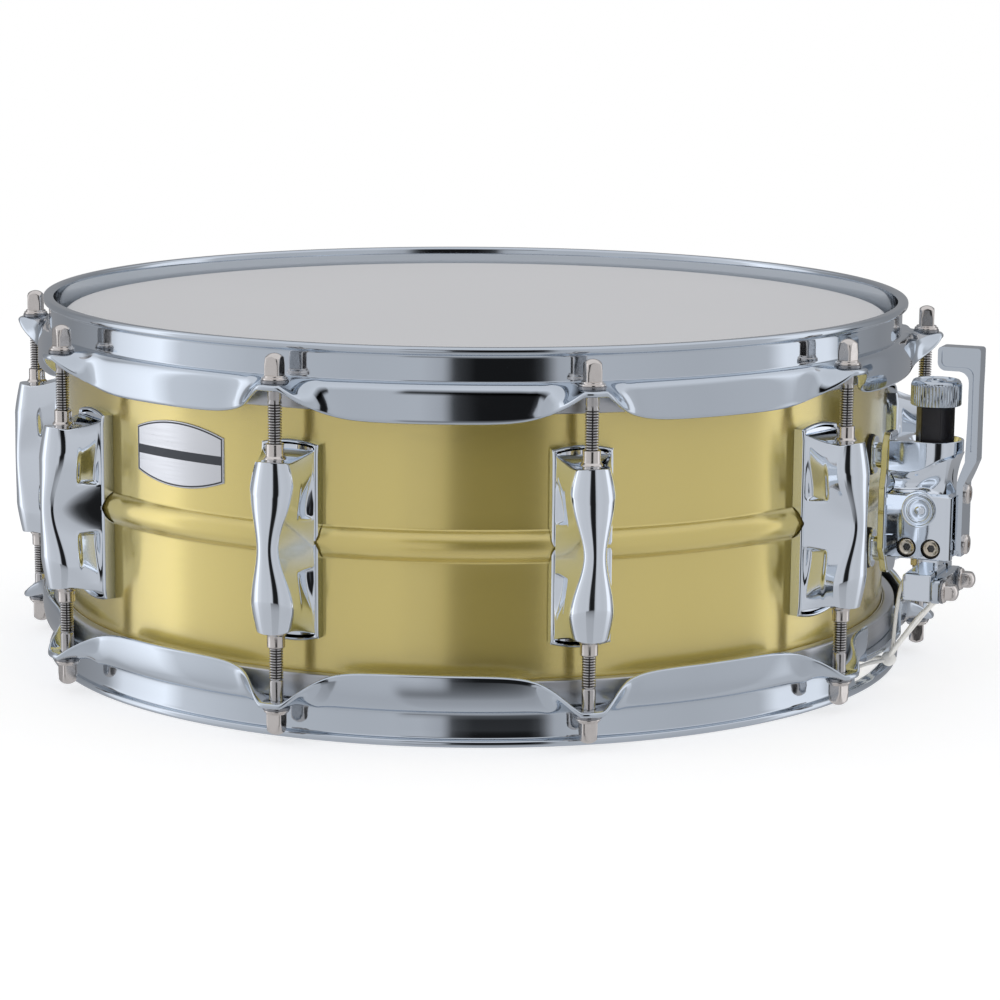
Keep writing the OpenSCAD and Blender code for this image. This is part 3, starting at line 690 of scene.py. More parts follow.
# ---- fasteners, ten of each in one piece ----
def around(proto, name, slot, node_name, both_sides=False):
    sides = [Matrix(), lower()] if both_sides else [Matrix()]
    parts = [add("part", proto.data, side @ spin(a)) for a in LUGS for side in sides]
    bpy.data.objects.remove(proto)
    bpy.context.view_layer.update()
    put(join(name, parts), "root", slot, node_name)


def square_head(x, low, high, corner=4.2):
    """Domed square head with softened corners, on an axis through x."""
    half, dome = 3.1, 4.6
    ball = high - dome
    rows = []
    heights = [low + d for d in (0, 0.4, 1.4, 2.6, 3.6, 4.4)]
    heights += [high - d for d in (1.9, 1.5, 1.2, 0.9, 0.65, 0.42, 0.25, 0.12, 0.04)]
    for z in heights:
        cap = math.sqrt(max(0.0, dome ** 2 - (z - ball) ** 2)) if z > ball else 9
        row = []
        for c, s in ring(64, 1):
            r = half / (abs(c) ** 14 + abs(s) ** 14) ** (1 / 14)
            r = min(r, corner - 0.1 * math.exp(-((r - corner) / 0.2) ** 2), cap)
            row.append((x + r * c, r * s, z))
        rows.append(row)
    return build("head", *skin(rows), NICKEL, 40)


def thread_profile(low, high, r, pitch, depth):
    out = []
    z = low
    while z < high - pitch:
        out += [(r - depth, z), (r - depth, z + pitch * 0.25), (r, z + pitch * 0.42), (r, z + pitch * 0.83)]
        z += pitch
    return out


def make_rod(plain):
    """Tension rod of the upper side: a plain neck below the head, then the thread."""
    r, low, high = 2.72, MID + LUG_END - 14.5, TOP - 11.9
    profile = [(0, low), (2.3, low), (2.6, low + 0.4)] + thread_profile(low + 0.6, high - plain, r, 1.06, 0.6)
    profile += [(2.4, high - plain + 0.1), (r, high - plain + 0.6), (r, high), (0, high)]
    shank = turned("shank", profile, THREAD, (ROD_R, 0, 0), "z", 32, 50)
    # the thread's flanks get the dark paint, as painted shade in the grooves
    repaint(shank, PAINTED_SHADE, lambda c, n: math.hypot(c.x - ROD_R, c.y) < 2.5 and abs(n.z) < 0.95)
    flange = rounded([(0, TOP - 13.4, 0), (5.1, TOP - 13.4), (5.0, TOP - 12.6, 0.3), (4.3, TOP - 12.3, 0.2),
                      (4.25, TOP - 11.7, 0.3), (0, TOP - 11.5, 0)], 0.25, 3)
    return join("rod", [shank, turned("flange", flange, NICKEL, (ROD_R, 0, 0), "z", 48, 40),
                        square_head(ROD_R, TOP - 12.0, TOP - 3.2)])


def make_rod_washer():
    outline = rounded(rect(2.8, WASHER[0], 5.4, WASHER[1]), 0.3, 3)
    return turned("washer", outline, DULL, (ROD_R, 0, 0), "z", 48, 40)


def make_nut():
    low, high, end = MID + LUG_END - 16.4, MID + LUG_END + 6.3, MID + LUG_END
    profile = [(2.82, low), (3.5, low), (3.5, end + 0.2)]
    profile += rounded([(3.5, end + 0.1, 0), (4.35, end + 0.35, 0.15), (4.3, end + 0.9, 0.2),
                        (3.62, end + 1.7, 0.5), (3.5, end + 2.8, 0)], 0.2, 3)[1:]
    profile += rounded([(3.5, high - 1, 0), (3.5, high, 0.5), (2.82, high, 0.2), (2.82, low, 0)], 0.2, 4)[:-1]
    return turned("nut", profile, NICKEL, (ROD_R, 0, 0), "z", 48, 40)


def make_lug_screw(z):
    profile = rounded([(0, 172.3, 0), (2.2, 172.3, 0.2), (4.5, 173.2), (4.5, 175.5), (2.35, 175.5),
                       (2.35, 186.2), (0, 186.2, 0)], 0.3, 3)
    screw = turned("screw", profile, STEEL, (0, 0, z), "x", 32, 40)
    cross = [prism("slot", rect(-a, z - b, a, z + b), 171, 173.6, "x", STEEL)
             for a, b in ((0.45, 2.6), (2.6, 0.45))]
    return cut(screw, cross, sharp=40)


def make_lug_washer(z):
    return turned("washer", rounded(rect(2.5, 175.55, 6.0, 176.5), 0.25, 3), STEEL, (0, 0, z), "x", 40, 40)


def make_fasteners():
    around(make_rod(9.2), "rods_upper", "nickel", "tension_rods_top")
    around(turned_over(make_rod(13.0)), "rods_lower", "nickel", "tension_rods_bottom")
    around(make_rod_washer(), "washers_upper", "plated_steel", "rod_washers_top")
    around(turned_over(make_rod_washer()), "washers_lower", "plated_steel", "rod_washers_bottom")
    around(make_nut(), "nuts_swivel", "nickel", "swivel_nuts", both_sides=True)
    around(join("screw", [make_lug_screw(z) for z in LUG_SCREWS]), "screws_lug", "plated_steel", "lug_screws")
    around(join("washer", [make_lug_washer(z) for z in LUG_SCREWS]), "washers_lug", "plated_steel",
           "lug_washers")


# ---- light and floor ----
def grey(v, blue=1.045):
    return (v * 0.985, v, v * blue)


def plain(v):
    return (v, v, v)


def around_ramp(tree, turn, stops, tone):
    """Tones by azimuth, in degrees; turn is the azimuth from 0 to 1."""
    return ramp(tree, turn, [((a + 180) / 360, tone(v)) for a, v in stops])


def make_world():
    world = bpy.data.worlds.new("studio")
    bpy.context.scene.world = world
    world.use_nodes = True
    tree = world.node_tree
    tree.nodes.clear()
    facing = {"Vector": node(tree, "TexCoord").outputs["Generated"], "Angle": math.radians(67)}
    turned_to = node(tree, "VectorRotate", facing, rotation_type="Z_AXIS").outputs["Vector"]
    way = node(tree, "SeparateXYZ", {"Vector": turned_to}).outputs
    turn = scaled(tree, sums(tree, "ARCTAN2", way["Y"], way["X"]), -math.pi, math.pi)
    tones = [(-180, 0.3), (-135, 0.3), (-116, 0.4), (-108, 1.0), (-90, 1.3), (-83, 0.8), (-60, 0.62),
             (-30, 0.58), (-14, 0.6), (-8, 0.5), (-5.5, 0.06), (0, 0.012), (14, 0.012), (17.5, 0.05),
             (21, 0.5), (30, 0.6), (60, 0.56), (82, 0.6), (88, 1.05), (106, 1.05), (114, 0.4), (135, 0.3),
             (180, 0.3)]
    walls = around_ramp(tree, turn, tones, grey)
    # the dark gap is wider above and below the walls
    gap = around_ramp(tree, turn, [(-180, 1.0), (-21, 1.0), (-18, 0.12), (-5.5, 0.03), (14, 0.03),
                                   (17.5, 0.12), (21, 1.0), (180, 1.0)], plain)
    off_level = scaled(tree, sums(tree, "ABSOLUTE", way["Z"]), 0.24, 0.4, kind="SMOOTHSTEP")
    walls = blended(tree, off_level, walls, gap, data_type="RGBA", blend_type="MULTIPLY")
    height = scaled(tree, way["Z"], -1.0, 1.0)
    fade = ramp(tree, height, [(h, plain(v)) for h, v in ((0.0, 0), (0.25, 0.2), (0.38, 1), (0.72, 1),
                                                          (0.85, 0), (1.0, 0))])
    ends = ramp(tree, height, [(h, grey(v)) for h, v in ((0.0, 0.55), (0.3, 0.5), (0.5, 0.6), (0.75, 0.85),
                                                         (1.0, 0.75))])
    light = node(tree, "Background", {"Color": blended(tree, fade, ends, walls, data_type="RGBA")})
    seen = node(tree, "Background", {"Color": (1, 1, 1, 1), "Strength": 1.0})
    to_camera = node(tree, "LightPath").outputs["Is Camera Ray"]
    pick = node(tree, "MixShader", {"Fac": to_camera, 1: light.outputs["Background"],
                                    2: seen.outputs["Background"]})
    node(tree, "OutputWorld", {"Surface": pick.outputs["Shader"]})


def make_floor():
    """Pale disc that fades out, and that mirrors don't see."""
    paint, fade_from, fade_to, count = 0.62, 0.45, 1.3, 96
    m = bpy.data.materials.new("floor")
    m.use_nodes = True
    tree = m.node_tree
    tree.nodes.clear()
    place = node(tree, "TexCoord").outputs["Object"]
    far = node(tree, "VectorMath", {0: place}, operation="LENGTH").outputs["Value"]
    shown = scaled(tree, far, fade_from, fade_to, 1.0, 0.0, "SMOOTHSTEP")
    path = node(tree, "LightPath").outputs
    shown = sums(tree, "MULTIPLY", shown, sums(tree, "SUBTRACT", 1.0, path["Is Glossy Ray"]))
    lit = sums(tree, "MULTIPLY", sums(tree, "MAXIMUM", path["Is Camera Ray"], path["Is Diffuse Ray"]), paint)
    diffuse = node(tree, "BsdfDiffuse", {"Color": (paint, paint, paint, 1)}).outputs["BSDF"]
    glow = node(tree, "Emission", {"Color": (1, 1, 1, 1), "Strength": lit}).outputs["Emission"]
    both = node(tree, "AddShader", {0: diffuse, 1: glow}).outputs["Shader"]
    clear = node(tree, "BsdfTransparent").outputs["BSDF"]
    mix = node(tree, "MixShader", {"Fac": shown, 1: clear, 2: both})
    node(tree, "OutputMaterial", {"Surface": mix.outputs["Shader"]})
    rows = [[(x, y, -0.02) for x, y in ring(count, r)] for r in (1, 300, 600, 1000, 1350)]
    verts, faces = skin(rows, caps=False)
    floor = build("floor", verts, faces + [tuple(range(count))], m)
    if floor.data.polygons[0].normal.z < 0:
        floor.data.flip_normals()


# ---- badge and vent ----
def make_badge():
    """Barrel-shaped plate with a sunk line near its edge and a sunk dark band across it."""
    half_w, arc, out, centre = 24.3, 70.0, SHELL_R + 0.62, MID + 27.5
    line, band, sunk = (0.57, 1.18), (-1.92, 1.6), 0.12
    marks = [0.0, 0.1, 0.3, 0.55, 0.6, 1.15, 1.2, 2.6]

    def half_h(y):
        return math.sqrt(arc * arc - y * y) - (arc - 13.25)

    def dark(d, z):
        return line[0] < d < line[1] or (d > line[1] and band[0] < z < band[1])

    def depth(d, sinks):
        return out - (sunk if sinks else 0) - 0.25 * max(0, 1 - d / 0.3) ** 2

    ys = [half_w - m for m in marks] + [20 - 1.25 * k for k in range(16)]
    rows = []
    for y in [-y for y in ys] + ys[::-1]:
        top, side = half_h(y), half_w - abs(y)
        upper = [(depth(min(m, side), line[0] < min(m, side) < line[1]), top - m) for m in marks]
        middle = [(depth(side, dark(side, z)), z) for z in (5.0, 1.62, 1.58, 0.0, -1.9, -1.94, -3.0, -5.0)]
        front = upper + middle + [(r, -z) for r, z in upper[::-1]]
        back = math.sqrt(SHELL_FACE ** 2 - y * y)
        rows.append([(math.sqrt(r * r - y * y), y, centre + z) for r, z in front]
                    + [(back, y, centre + z) for r, z in front[::-1]])
    badge = build("badge_plate", *skin(rows), SILVER, 50)

    def painted(c, n):
        z = c.z - centre
        face = math.hypot(c.x, c.y) >= 178.3 and abs(n.z) <= 0.9
        return face and dark(min(half_h(c.y) - abs(z), half_w - abs(c.y)), z)

    repaint(badge, BAND, painted)
    badge.matrix_world = spin(BADGE_TURN)
    put(badge, "root", "badge_metal", "badge")


def make_vent():
    profile = rounded([(3.9, 174.9, 0.4), (6.9, 174.9, 0.5), (6.9, 175.9, 0.3), (4.85, 176.2, 0.2),
                       (4.85, 178.2, 0.1), (8.0, 178.2, 0.4), (7.6, 179.2, 0.6), (4.6, 179.4, 0.7),
                       (3.9, 178.6, 0.6)], 0.3, 4)
    vent = turned("vent_ring", profile, NICKEL, VENT, "x", 64, 45)
    vent.matrix_world = spin(VENT_TURN)
    put(vent, "root", "nickel", "vent_grommet")


# ---- mounts that the throw-off and the butt end share ----
def gasket(name, pad, centres):
    """Cut a pad to the shell's face and bore it for its screws."""
    drum = bar(20, 130, GASKET_SEAT, RUBBER, segments=360)
    holes = [bar(170, 187, 2.6, RUBBER, (0, y, z), "x") for y, z in centres]
    pad = cut(pad, [drum, join("holes", holes)], sharp=40)
    pad.name = name
    return pad


def mount_screw(y, z, wide, crown, under, tip, key_r, key_depth):
    """Domed screw from inside the shell, with a hexagon socket."""
    head, shank = 172.1, 2.35
    profile = rounded([(0, head, 0), (wide - 0.4, head, crown), (wide, 173.2, 0.4), (wide, under, 0.3),
                       (shank, under, 0.1), (shank, tip, 0.3), (0, tip, 0)], 0.3, 4)
    screw = turned("screw", profile, STEEL, (0, y, z), "x", 40, 40)
    return cut(screw, [hex_tool(key_r, y, z, 171, key_depth, "x", STEEL)], sharp=40)


def cord_way(x, sign, face, high):
    """Tools for a cord's groove and the slot that opens it to the clamp plate."""
    y = sign * CORD_Y
    return [bar(37, high, 1.55, LIT_CASTING, (x, y, 0), "z"),
            prism("tool", rect(x, y - 1.5, face, y + 1.5), 37, high, "z", LIT_CASTING)]


def pressed_plate(name, outline, corner, faces, bore, holes):
    plate = prism(name, rounded(outline, corner, 5), *faces, "x", CHROME, 0.6, 40)
    return cut(plate, [bar(*bore, 2.6, CHROME, (0, y, z), "x") for y, z in holes], sharp=40)


def bolt(x, y, z):
    """Square-headed bolt that points towards the drum."""
    r = 2.45
    profile = rounded([(0, 0, 0), (4.6, 0, 0.2), (4.5, 0.8, 0.3), (3.9, 1.1, 0.2), (0, 1.2, 0)], 0.3, 3)
    flange = turned("flange", profile, NICKEL, segments=48, sharp=40)
    profile = [(0, -11), (2.2, -11), (r, -10.6)] + thread_profile(-10.4, -1, r, 0.8, 0.25)
    shank = turned("shank", profile + [(r, -0.5), (r, 0.2), (0, 0.2)], NICKEL, segments=32, sharp=50)
    obj = join("bolt", [square_head(0, 0.9, 6.2, 4.15), flange, shank])
    obj.matrix_world = Matrix.Translation((x * MM, y * MM, z * MM)) @ Matrix.Rotation(math.pi / 2, 4, "Y")
    return obj


def ring_washer(name, x, y, z):
    return turned(name, rounded(rect(2.55, x, 5.0, x + 1), 0.28, 3), DULL, (0, y, z), "x", 48, 40)


# ---- throw-off ----
def oval(half_w, half_h, z, count=28):
    """Slot shape with round ends above and below z."""
    straight = half_h - half_w
    turns = [math.tau * k / count for k in range(count)]
    return [(half_w * math.cos(a), z + straight * (1 if a < math.pi else -1) + half_w * math.sin(a))
            for a in turns]


def make_bracket():
    side = [(5, 47, 3), (8.5, 53, 3), (12, 58, 3), (12, 84, 3), (9.5, 90, 4), (9, 100, 4), (5, 106, 3)]
    outline = side + [(-y, z, r) for y, z, r in side[::-1]]
    plate = prism("bracket_strainer", rounded(outline, 3, 6), 184.8, 188.38, "x", LIT_CASTING, 0.7, 40)
    # the plate narrows in two steps towards the drum
    for v in plate.data.vertices:
        if v.co.x < 0.1866:
            v.co.y *= 0.88 if v.co.x < 0.1856 else 0.94
    for z in FEET:
        unite(plate, [prism("foot", oval(5.0, 8.0, z), 179.55, 180.7, "x", LIT_CASTING, 0.35, 40),
                      prism("neck", oval(3.4, 5.4, z), 180.2, 186, "x", LIT_CASTING)], 40)
    cut(plate, [join("holes", [bar(179, 187.5, 2.5, LIT_CASTING, (0, 0, z), "x") for z in FEET])], sharp=40)
    put(crisp(plate), "root", "chrome", "strainer_bracket")
    pads = join("pads", [prism("pad", oval(5.5, 8.6, z), 176.6, 179.5, "x", RUBBER, 0.6, 40) for z in FEET])
    put(gasket("gaskets_strainer", pads, [(0, z) for z in FEET]), "root", "black_rubber", "strainer_gaskets")
    screws = [mount_screw(0, z, 5.0, 0.9, 176.55, 186.8, 2.4, 174.2) for z in FEET]
    put(join("screws_bracket", screws), "root", "plated_steel", "strainer_mount_screws")


def section_radii(middle, inside, start=30.0, step=0.02):
    """Distance from (middle, 0) to the edge of a shape in each direction."""
    out = []
    for c, s in ring(96, 1):
        r = start
        while r > 1 and not inside(middle + r * c, r * s):
            r -= step
        out.append(r)
    return out


def casing_rows():
    """Sections of the casing: a box below, a waist, and a round collar whose foot rises outwards."""
    middle, back, front, half_w = 203, 14.6, 13.2, 12.0
    low, waist, collar_foot, high = 55.3, 82.0, 91.75, 104.1
    collar = section_radii(middle, lambda x, y: (188.4 <= x <= STEM_X and abs(y) <= half_w)
                           or (x - STEM_X) ** 2 + y * y <= half_w ** 2)
    directions = ring(96, 1)
    body = []
    for c, s in directions:
        walls = [front / c if c > 1e-6 else 99, back / -c if c < -1e-6 else 99,
                 half_w / abs(s) if abs(s) > 1e-6 else 99]
        body.append(min(walls))

    def section(z, mix, inset):
        row = []
        for (c, s), r_collar, r_body in zip(directions, collar, body):
            r = r_collar * (1 - mix) + r_body * mix - inset
            r = min(r, back / -c if c < -0.05 else 99)
            row.append((middle + r * c, r * s, z))
        return row

    box = [(low, 0.6), (55.4, 0.3), (55.6, 0.1), (55.9, 0), (60, 0), (66, 0), (72, 0), (77, 0), (80.2, 0),
           (81.2, 0), (81.6, 0.06), (81.85, 0.22), (waist, 0.5)]
    rows = [section(z, 1, inset) for z, inset in box]
    for t in (k / 15 for k in range(1, 15)):
        bow = math.sqrt(max(0.0, 1 - (1 - t) ** 2))
        rows.append(section(waist + 9.2 * t, min(1, bow * 0.95), 0.5 + 2.7 * math.sin(math.pi * t ** 0.8)))
    rows += [section(z, 0, inset) for z, inset in (
        (91.2, 0.6), (91.3, 0.3), (91.45, 0.1), (collar_foot, 0), (96, 0), (100, 0), (103.6, 0), (103.9, 0.1),
        (104.04, 0.28), (high, 0.6))]

    def lifted(x, y, z):
        rise = ease((x - 197) / 20) * 7.5
        if waist < z <= collar_foot:
            return x, y, z + rise * ease((z - waist) / 9.75)
        if collar_foot < z < 103.5:
            return x, y, z + rise * (1 - (z - collar_foot) / 11.85)
        return x, y, z

    return [[lifted(*p) for p in row] for row in rows]


def side_tools(sign):
    """Screw bores, the parting line and the notches in one side of the casing."""
    tools = []
    for x in CASING_SCREWS:
        tools.append(bar(*span(sign, 9.6, 13), 4.15, LIT_CASTING, (x, 0, CASING_SCREW_Z), "y", 48))
        tools.append(bar(*span(sign, 7, 10.5), 2.05, LIT_CASTING, (x, 0, CASING_SCREW_Z), "y"))
    tools.append(prism("line", rect(202.35, 54, 202.85, 67.9), *span(sign, 11.55, 13), "y", LIT_CASTING))
    for z, deep in ((78.4, 4.6), (66.2, 5.4), (57.3, 4.6)):
        start, bend = 188.4, 188.4 + deep * 0.6
        notch = [(187, z - 1.7), (bend, z - 1.5), (start + deep, z), (bend, z + 1.4), (187, z + 1.7)]
        tools.append(prism("notch", rounded(notch, 0.6, 3), *span(sign, 10.9, 13), "y", LIT_CASTING))
    tools.append(bar(*span(sign, 7, 11), 1.25, LIT_CASTING, LEVER_PIN, "y", 24))
    return tools


def casing_screw(sign, x):
    profile = [(0, 7.4, 0), (2.0, 7.4, 0), (2.0, 9.65, 0), (3.7, 9.65, 0.1), (3.7, 10.9, 0.5),
               (3.0, 11.2, 0.3), (2.1, 10.95, 0.2), (0, 10.9, 0)]
    screw = turned("screw", rounded([(r, sign * h, c) for r, h, c in profile], 0.3, 4), WARM,
                   (x, 0, CASING_SCREW_Z), "y", 48, 40)
    cut(screw, [hex_tool(1.7, x, CASING_SCREW_Z, *span(sign, 10.2, 13), "y", WARM)], sharp=40)

    # painted shade: the head's rim wall, sitting in the gap of its counterbore, and the inside of the hex
    # socket
    def dark(c, n):
        r = math.hypot(c.x - x, c.z - CASING_SCREW_Z)
        return r > 3.55 or (r < 1.72 and abs(c.y) < 10.8)

    repaint(screw, PAINTED_SHADE, dark)
    return screw


def make_casing_strainer():
    casing = build("casing_strainer", *skin(casing_rows()), LIT_CASTING, 30)
    for y in BOTH:
        profile = [(0, y * 8.2, 0), (8.0, y * 8.2, 0), (8.0, y * 12.0, 0.4), (0, y * 12.0, 0)]
        unite(casing, [turned("boss", rounded(profile, 0.3, 3), LIT_CASTING, EMBLEM, "y", 72, 40)], 30)
    tools = [prism("well", rounded(rect(191.6, 53, 219, 80), 1.5, 4), -8, 8, "y", LIT_CASTING),
             hex_tool(8.5, STEM_X, 0, 76, 104, "z", LIT_CASTING),
             turned("recess", [(0, 101.2), (9.0, 101.2), (10.0, 101.9), (11.2, 105), (0, 105)], LIT_CASTING,
                    (STEM_X, 0, 0), "z", 72)]
    crisp(cut(casing, tools + side_tools(-1) + side_tools(1), sharp=30))

    # painted shade on the walls of the screw counterbores
    def dark(c, n):
        r = min(math.hypot(c.x - x, c.z - CASING_SCREW_Z) for x in CASING_SCREWS)
        return 9.3 < abs(c.y) < 11.2 and r < 4.16

    repaint(casing, PAINTED_SHADE, dark)
    put(casing, "root", "chrome", "strainer_casing")
    screws = [casing_screw(sign, x) for sign in BOTH for x in CASING_SCREWS]
    put(join("screws_casing", screws), "root", "nickel", "casing_screws")
    profile = rounded([(0, -12.0, 0), (7.1, -12.0, 0), (7.1, -12.85, 0.25), (6.75, -13.0, 0.1),
                       (6.2, -12.9, 0.2), (6.05, -12.45, 0.15), (5.2, -12.4, 0.1), (5.0, -12.75, 0.15),
                       (4.55, -12.75, 0.15), (4.4, -12.4, 0.1), (1.7, -12.4, 0.2), (1.2, -12.85, 0.3),
                       (0, -12.95, 0)], 0.2, 3)
    put(turned("emblem_rings", profile, LIT_CASTING, EMBLEM, "y", 72, 40), "root", "chrome", "emblem_disc")
    profile = rounded([(0, -10.7, 0), (1.24, -10.7, 0.3), (1.24, 10.7, 0.3), (0, 10.7, 0)], 0.3, 3)
    put(turned("pin_lever", profile, STEEL, LEVER_PIN, "y", 32), "root", "plated_steel", "lever_pin")


def make_lever():
    corner = rounded([(216.9, 56.2, 1.0), (219.4, 56.2, 1.0), (219.4, 86.2, 3), (224.0, 96.4, 3),
                      (224.0, 126, 4), (224.15, 134, 4), (224.15, 142.8, 1.3), (206.35, 142.8, 1.7),
                      (206.35, 133.0, 3.4), (219.6, 133.0, 4.4), (219.6, 97.2, 3), (216.7, 87.2, 3)], 1, 6)
    side = []
    for p, q in zip(corner, corner[1:] + corner[:1]):
        n = max(1, int(math.hypot(q[0] - p[0], q[1] - p[1]) / 1.5))
        side += [(p[0] + (q[0] - p[0]) * k / n, p[1] + (q[1] - p[1]) * k / n) for k in range(n)]

    def half(z):
        """Half the arm's width: wide below, slim above, with a round lower end."""
        w, round_r, round_z = 7.0 - 2.75 * ease((z - 88.5) / 10.5), 4, 60.2
        if z > round_z:
            return w
        return w - round_r + math.sqrt(max(0.0, round_r ** 2 - (round_z - z) ** 2))

    rows = [[(x, t * half(z), z) for x, z in side] for t in (-1, -0.5, 0, 0.5, 1)]
    arm = build("lever_throw_arm", *skin(rows), CHROME, 40)
    barrel = rounded([(0, -6.8, 0), (3.9, -6.8, 0.4), (3.9, 6.8, 0.4), (0, 6.8, 0)], 0.4, 3)
    unite(arm, [turned("barrel", barrel, CHROME, LEVER_PIN, "y", 48, 40),
                prism("web", rect(214.2, 57.0, 217.9, 63.9), -6.1, 6.1, "y", CHROME)], 40)
    soften(arm, 0.6, angle=38)
    panel = [(221.2, 99.5, 0.5), (222.5, 101, 0.5), (222.5, 128, 2), (222.6, 134.5, 2), (222.6, 141.4, 0.8),
             (207.9, 141.4, 1.0), (207.9, 134.6, 2.2), (221.2, 134.6, 3.4)]
    tools = [bar(-9, 9, 1.3, CHROME, LEVER_PIN, "y")]
    tools += [prism("panel", rounded(panel, 1, 6), *span(sign, 3.5, 6), "y", CHROME) for sign in BOTH]
    cut(arm, tools, sharp=40)
    soften(arm, 0.3, 2, 50)
    put(crisp(arm), "lever", "chrome", "lever")
    profile = rounded([(0, 219.42, 0), (4.15, 219.42, 0), (4.15, 220.3, 0.5), (3.4, 220.95, 0.4),
                       (0, 220.98, 0)], 0.4, 4)
    heads = [cut(turned("rivet", profile, NICKEL, (0, 0, z), "x", 48, 40),
                 [hex_tool(1.7, 0, z, 220.1, 222, "x", NICKEL)], sharp=40) for z in (61, 82)]
    put(join("rivets_lever", heads), "lever", "nickel", "lever_rivets")


def make_stem():
    stem = soften(hex_tool(8.15, STEM_X, 0, 88, 117.8, "z", PLASTIC), 0.45, sharp=50)
    stem.name = "stem_hex"
    cut(stem, [bar(87, 119, 3.1, PLASTIC, (STEM_X, 0, 0), "z", 48)], sharp=50)
    put(stem, "carrier", "black_plastic", "hex_stem")


def make_knob():
    """Knurled knob with a dished top; ridge is how far the knurl stands out at each height."""
    ridges = 46
    rows = []
    for z, r, ridge in ((126.6, 3.05, 0), (118.0, 3.05, 0), (118.0, 9.2, 0), (118.05, 9.6, 0.1),
                        (118.3, 10.0, 0.6), (118.7, 10.15, 1), (122, 10.15, 1), (126.4, 10.15, 1),
                        (127.0, 10.1, 0.8), (127.3, 10.0, 0.3), (127.45, 10.0, 0), (127.9, 9.9, 0),
                        (128.4, 9.5, 0), (128.62, 9.2, 0), (128.7, 8.8, 0), (128.66, 8.4, 0),
                        (128.3, 8.15, 0), (128.0, 7.9, 0), (127.95, 7.4, 0), (127.95, 4.6, 0),
                        (128.0, 4.3, 0), (128.45, 4.0, 0), (128.6, 3.7, 0), (128.55, 2.4, 0),
                        (127.7, 1.9, 0), (127.6, 0.2, 0)):
        waves = [0.42 * w - 0.14 for w in (0.0, 0.55, 1.0, 1.0, 0.55, 0.0)] * ridges
        rows.append([(STEM_X + (r + ridge * w) * c, (r + ridge * w) * s, z)
                     for w, (c, s) in zip(waves, ring(len(waves), 1))])
    put(build("knob_knurled", *skin(rows), CHROME, 42), "knob", "chrome", "knob")
    profile = [(0, 35), (2.4, 35), (2.7, 35.4)] + thread_profile(35.6, 52, 3.0, 1.0, 0.3)
    profile += [(3.0, 52), (3.0, 126.5), (0, 126.5)]
    spindle = turned("spindle_thread", profile, STEEL, (STEM_X, 0, 0), "z", 40, 50)
    put(spindle, "knob", "plated_steel", "spindle")


def make_clamp():
    half_w = 17.6
    outline = rounded([(198, 39, 1.0), (209.9, 39, 0.5), (209.9, 50.2, 0.6), (198, 50.2, 1.6)], 1, 5)
    block = prism("clamp_block_cast", outline, -half_w, half_w, "y", LIT_CASTING, 0.5, 40)
    unite(block, [prism("tongue", rect(201, -4.4, 209.4, 4.4), 48, 72, "z", LIT_CASTING, 0.4, 40)], 40)
    tools = [bar(37, 99, 3.1, LIT_CASTING, (STEM_X, 0, 0), "z", 40)]
    for sign in BOTH:
        tools += cord_way(208.4, sign, 211, 52)
        tools.append(bar(199.5, 212, 2.55, LIT_CASTING, (0, sign * CLAMP_BOLT_Y, CLAMP_BOLT_Z), "x"))
        notch = rounded([(197, 40.2), (199.2, 40.2), (200.2, 41.4), (200.2, 42.6), (197, 42.6)], 0.4, 3)
        tools.append(prism("notch", notch, *span(sign, 17.0, 19), "y", LIT_CASTING))
    put(crisp(cut(block, tools, sharp=40)), "clamp", "chrome", "clamp_block")
    holes = [(sign * CLAMP_BOLT_Y, CLAMP_BOLT_Z) for sign in BOTH]
    outline = rect(-half_w, 38.4, half_w, 48.2)
    plate = pressed_plate("clamp_plate_pressed", outline, 1.6, (209.95, 213.6), (209, 215), holes)
    put(plate, "clamp", "chrome", "clamp_plate")
    put(join("bolts_clamp", [bolt(214.65, y, z) for y, z in holes]), "clamp", "nickel", "clamp_bolts")
    washers = [ring_washer("washer", 213.65, y, z) for y, z in holes]
    put(join("washers_clamp", washers), "clamp", "plated_steel", "clamp_bolt_washers")


# ---- snares and cords ----
STRAND = [(208.4, 9, 46), (208.4, 9, 40), (208.3, 9, 37.0), (207, 8.5, 34.8), (203, 7, 30.6),
          (197, 4.8, 22.4), (192, 2.8, 15.4), (190, 1.4, 12), (188.6, 0.6, 9.6)]
RIBBON = [(197.6, -5.5, 45.6), (196, -5.5, 45.4), (194.6, -5.2, 43), (193.4, -4.6, 38), (192.2, -3.6, 30),
          (191.2, -2.4, 21), (190.4, -1.2, 14), (189, -0.6, 10)]
TAIL = [(188.4, 0.8, 9.3), (185, 3.4, 8.6), (182, 5.4, 8.1), (178, 7.4, 6.6), (175, 8.4, 5.5), (172.1, 9, 5)]
BUTT = [(194.9, 9, 50), (194.9, 9, 40), (194.4, 9, 35), (192.4, 9, 24), (190.8, 9, 15), (189.6, 9, 11.4),
        (187, 9, 9.6), (182, 9, 8.2), (178, 9, 6.7), (175, 9, 5.5), (172.1, 9, 5)]
TWIST, LOBES = 0.42, 5


def flip(points):
    return [(x, -y, z) for x, y, z in points]


def doubled(route):
    """The two thin cords of each strand, on both sides of the drum's middle."""
    out = []
    for path in (smooth_path(route), smooth_path(flip(route))):
        for side in BOTH:
            beside = [p + Vector((0.12 * side, 0.66 * side, 0)) for p in path]
            out.append(tube(beside, 0.68, 0.74, 20, TWIST * side, LOBES))
    return out


def make_knot():
    x, z, radius = 188.6, 9.4, 3.2
    rows = []
    for t in (math.pi * i / 24 for i in range(1, 24)):
        row = []
        for a in (math.tau * k / 48 for k in range(48)):
            r = radius * (1 + 0.05 * math.cos(3 * a + 2.5 * math.cos(t)) * math.sin(t) ** 2 - 0.03)
            across = r * math.sin(t)
            row.append((x + across * math.cos(a), across * math.sin(a), z + r * math.cos(t)))
        rows.append(row)
    return build("knot", *skin(rows), CORD, 60)


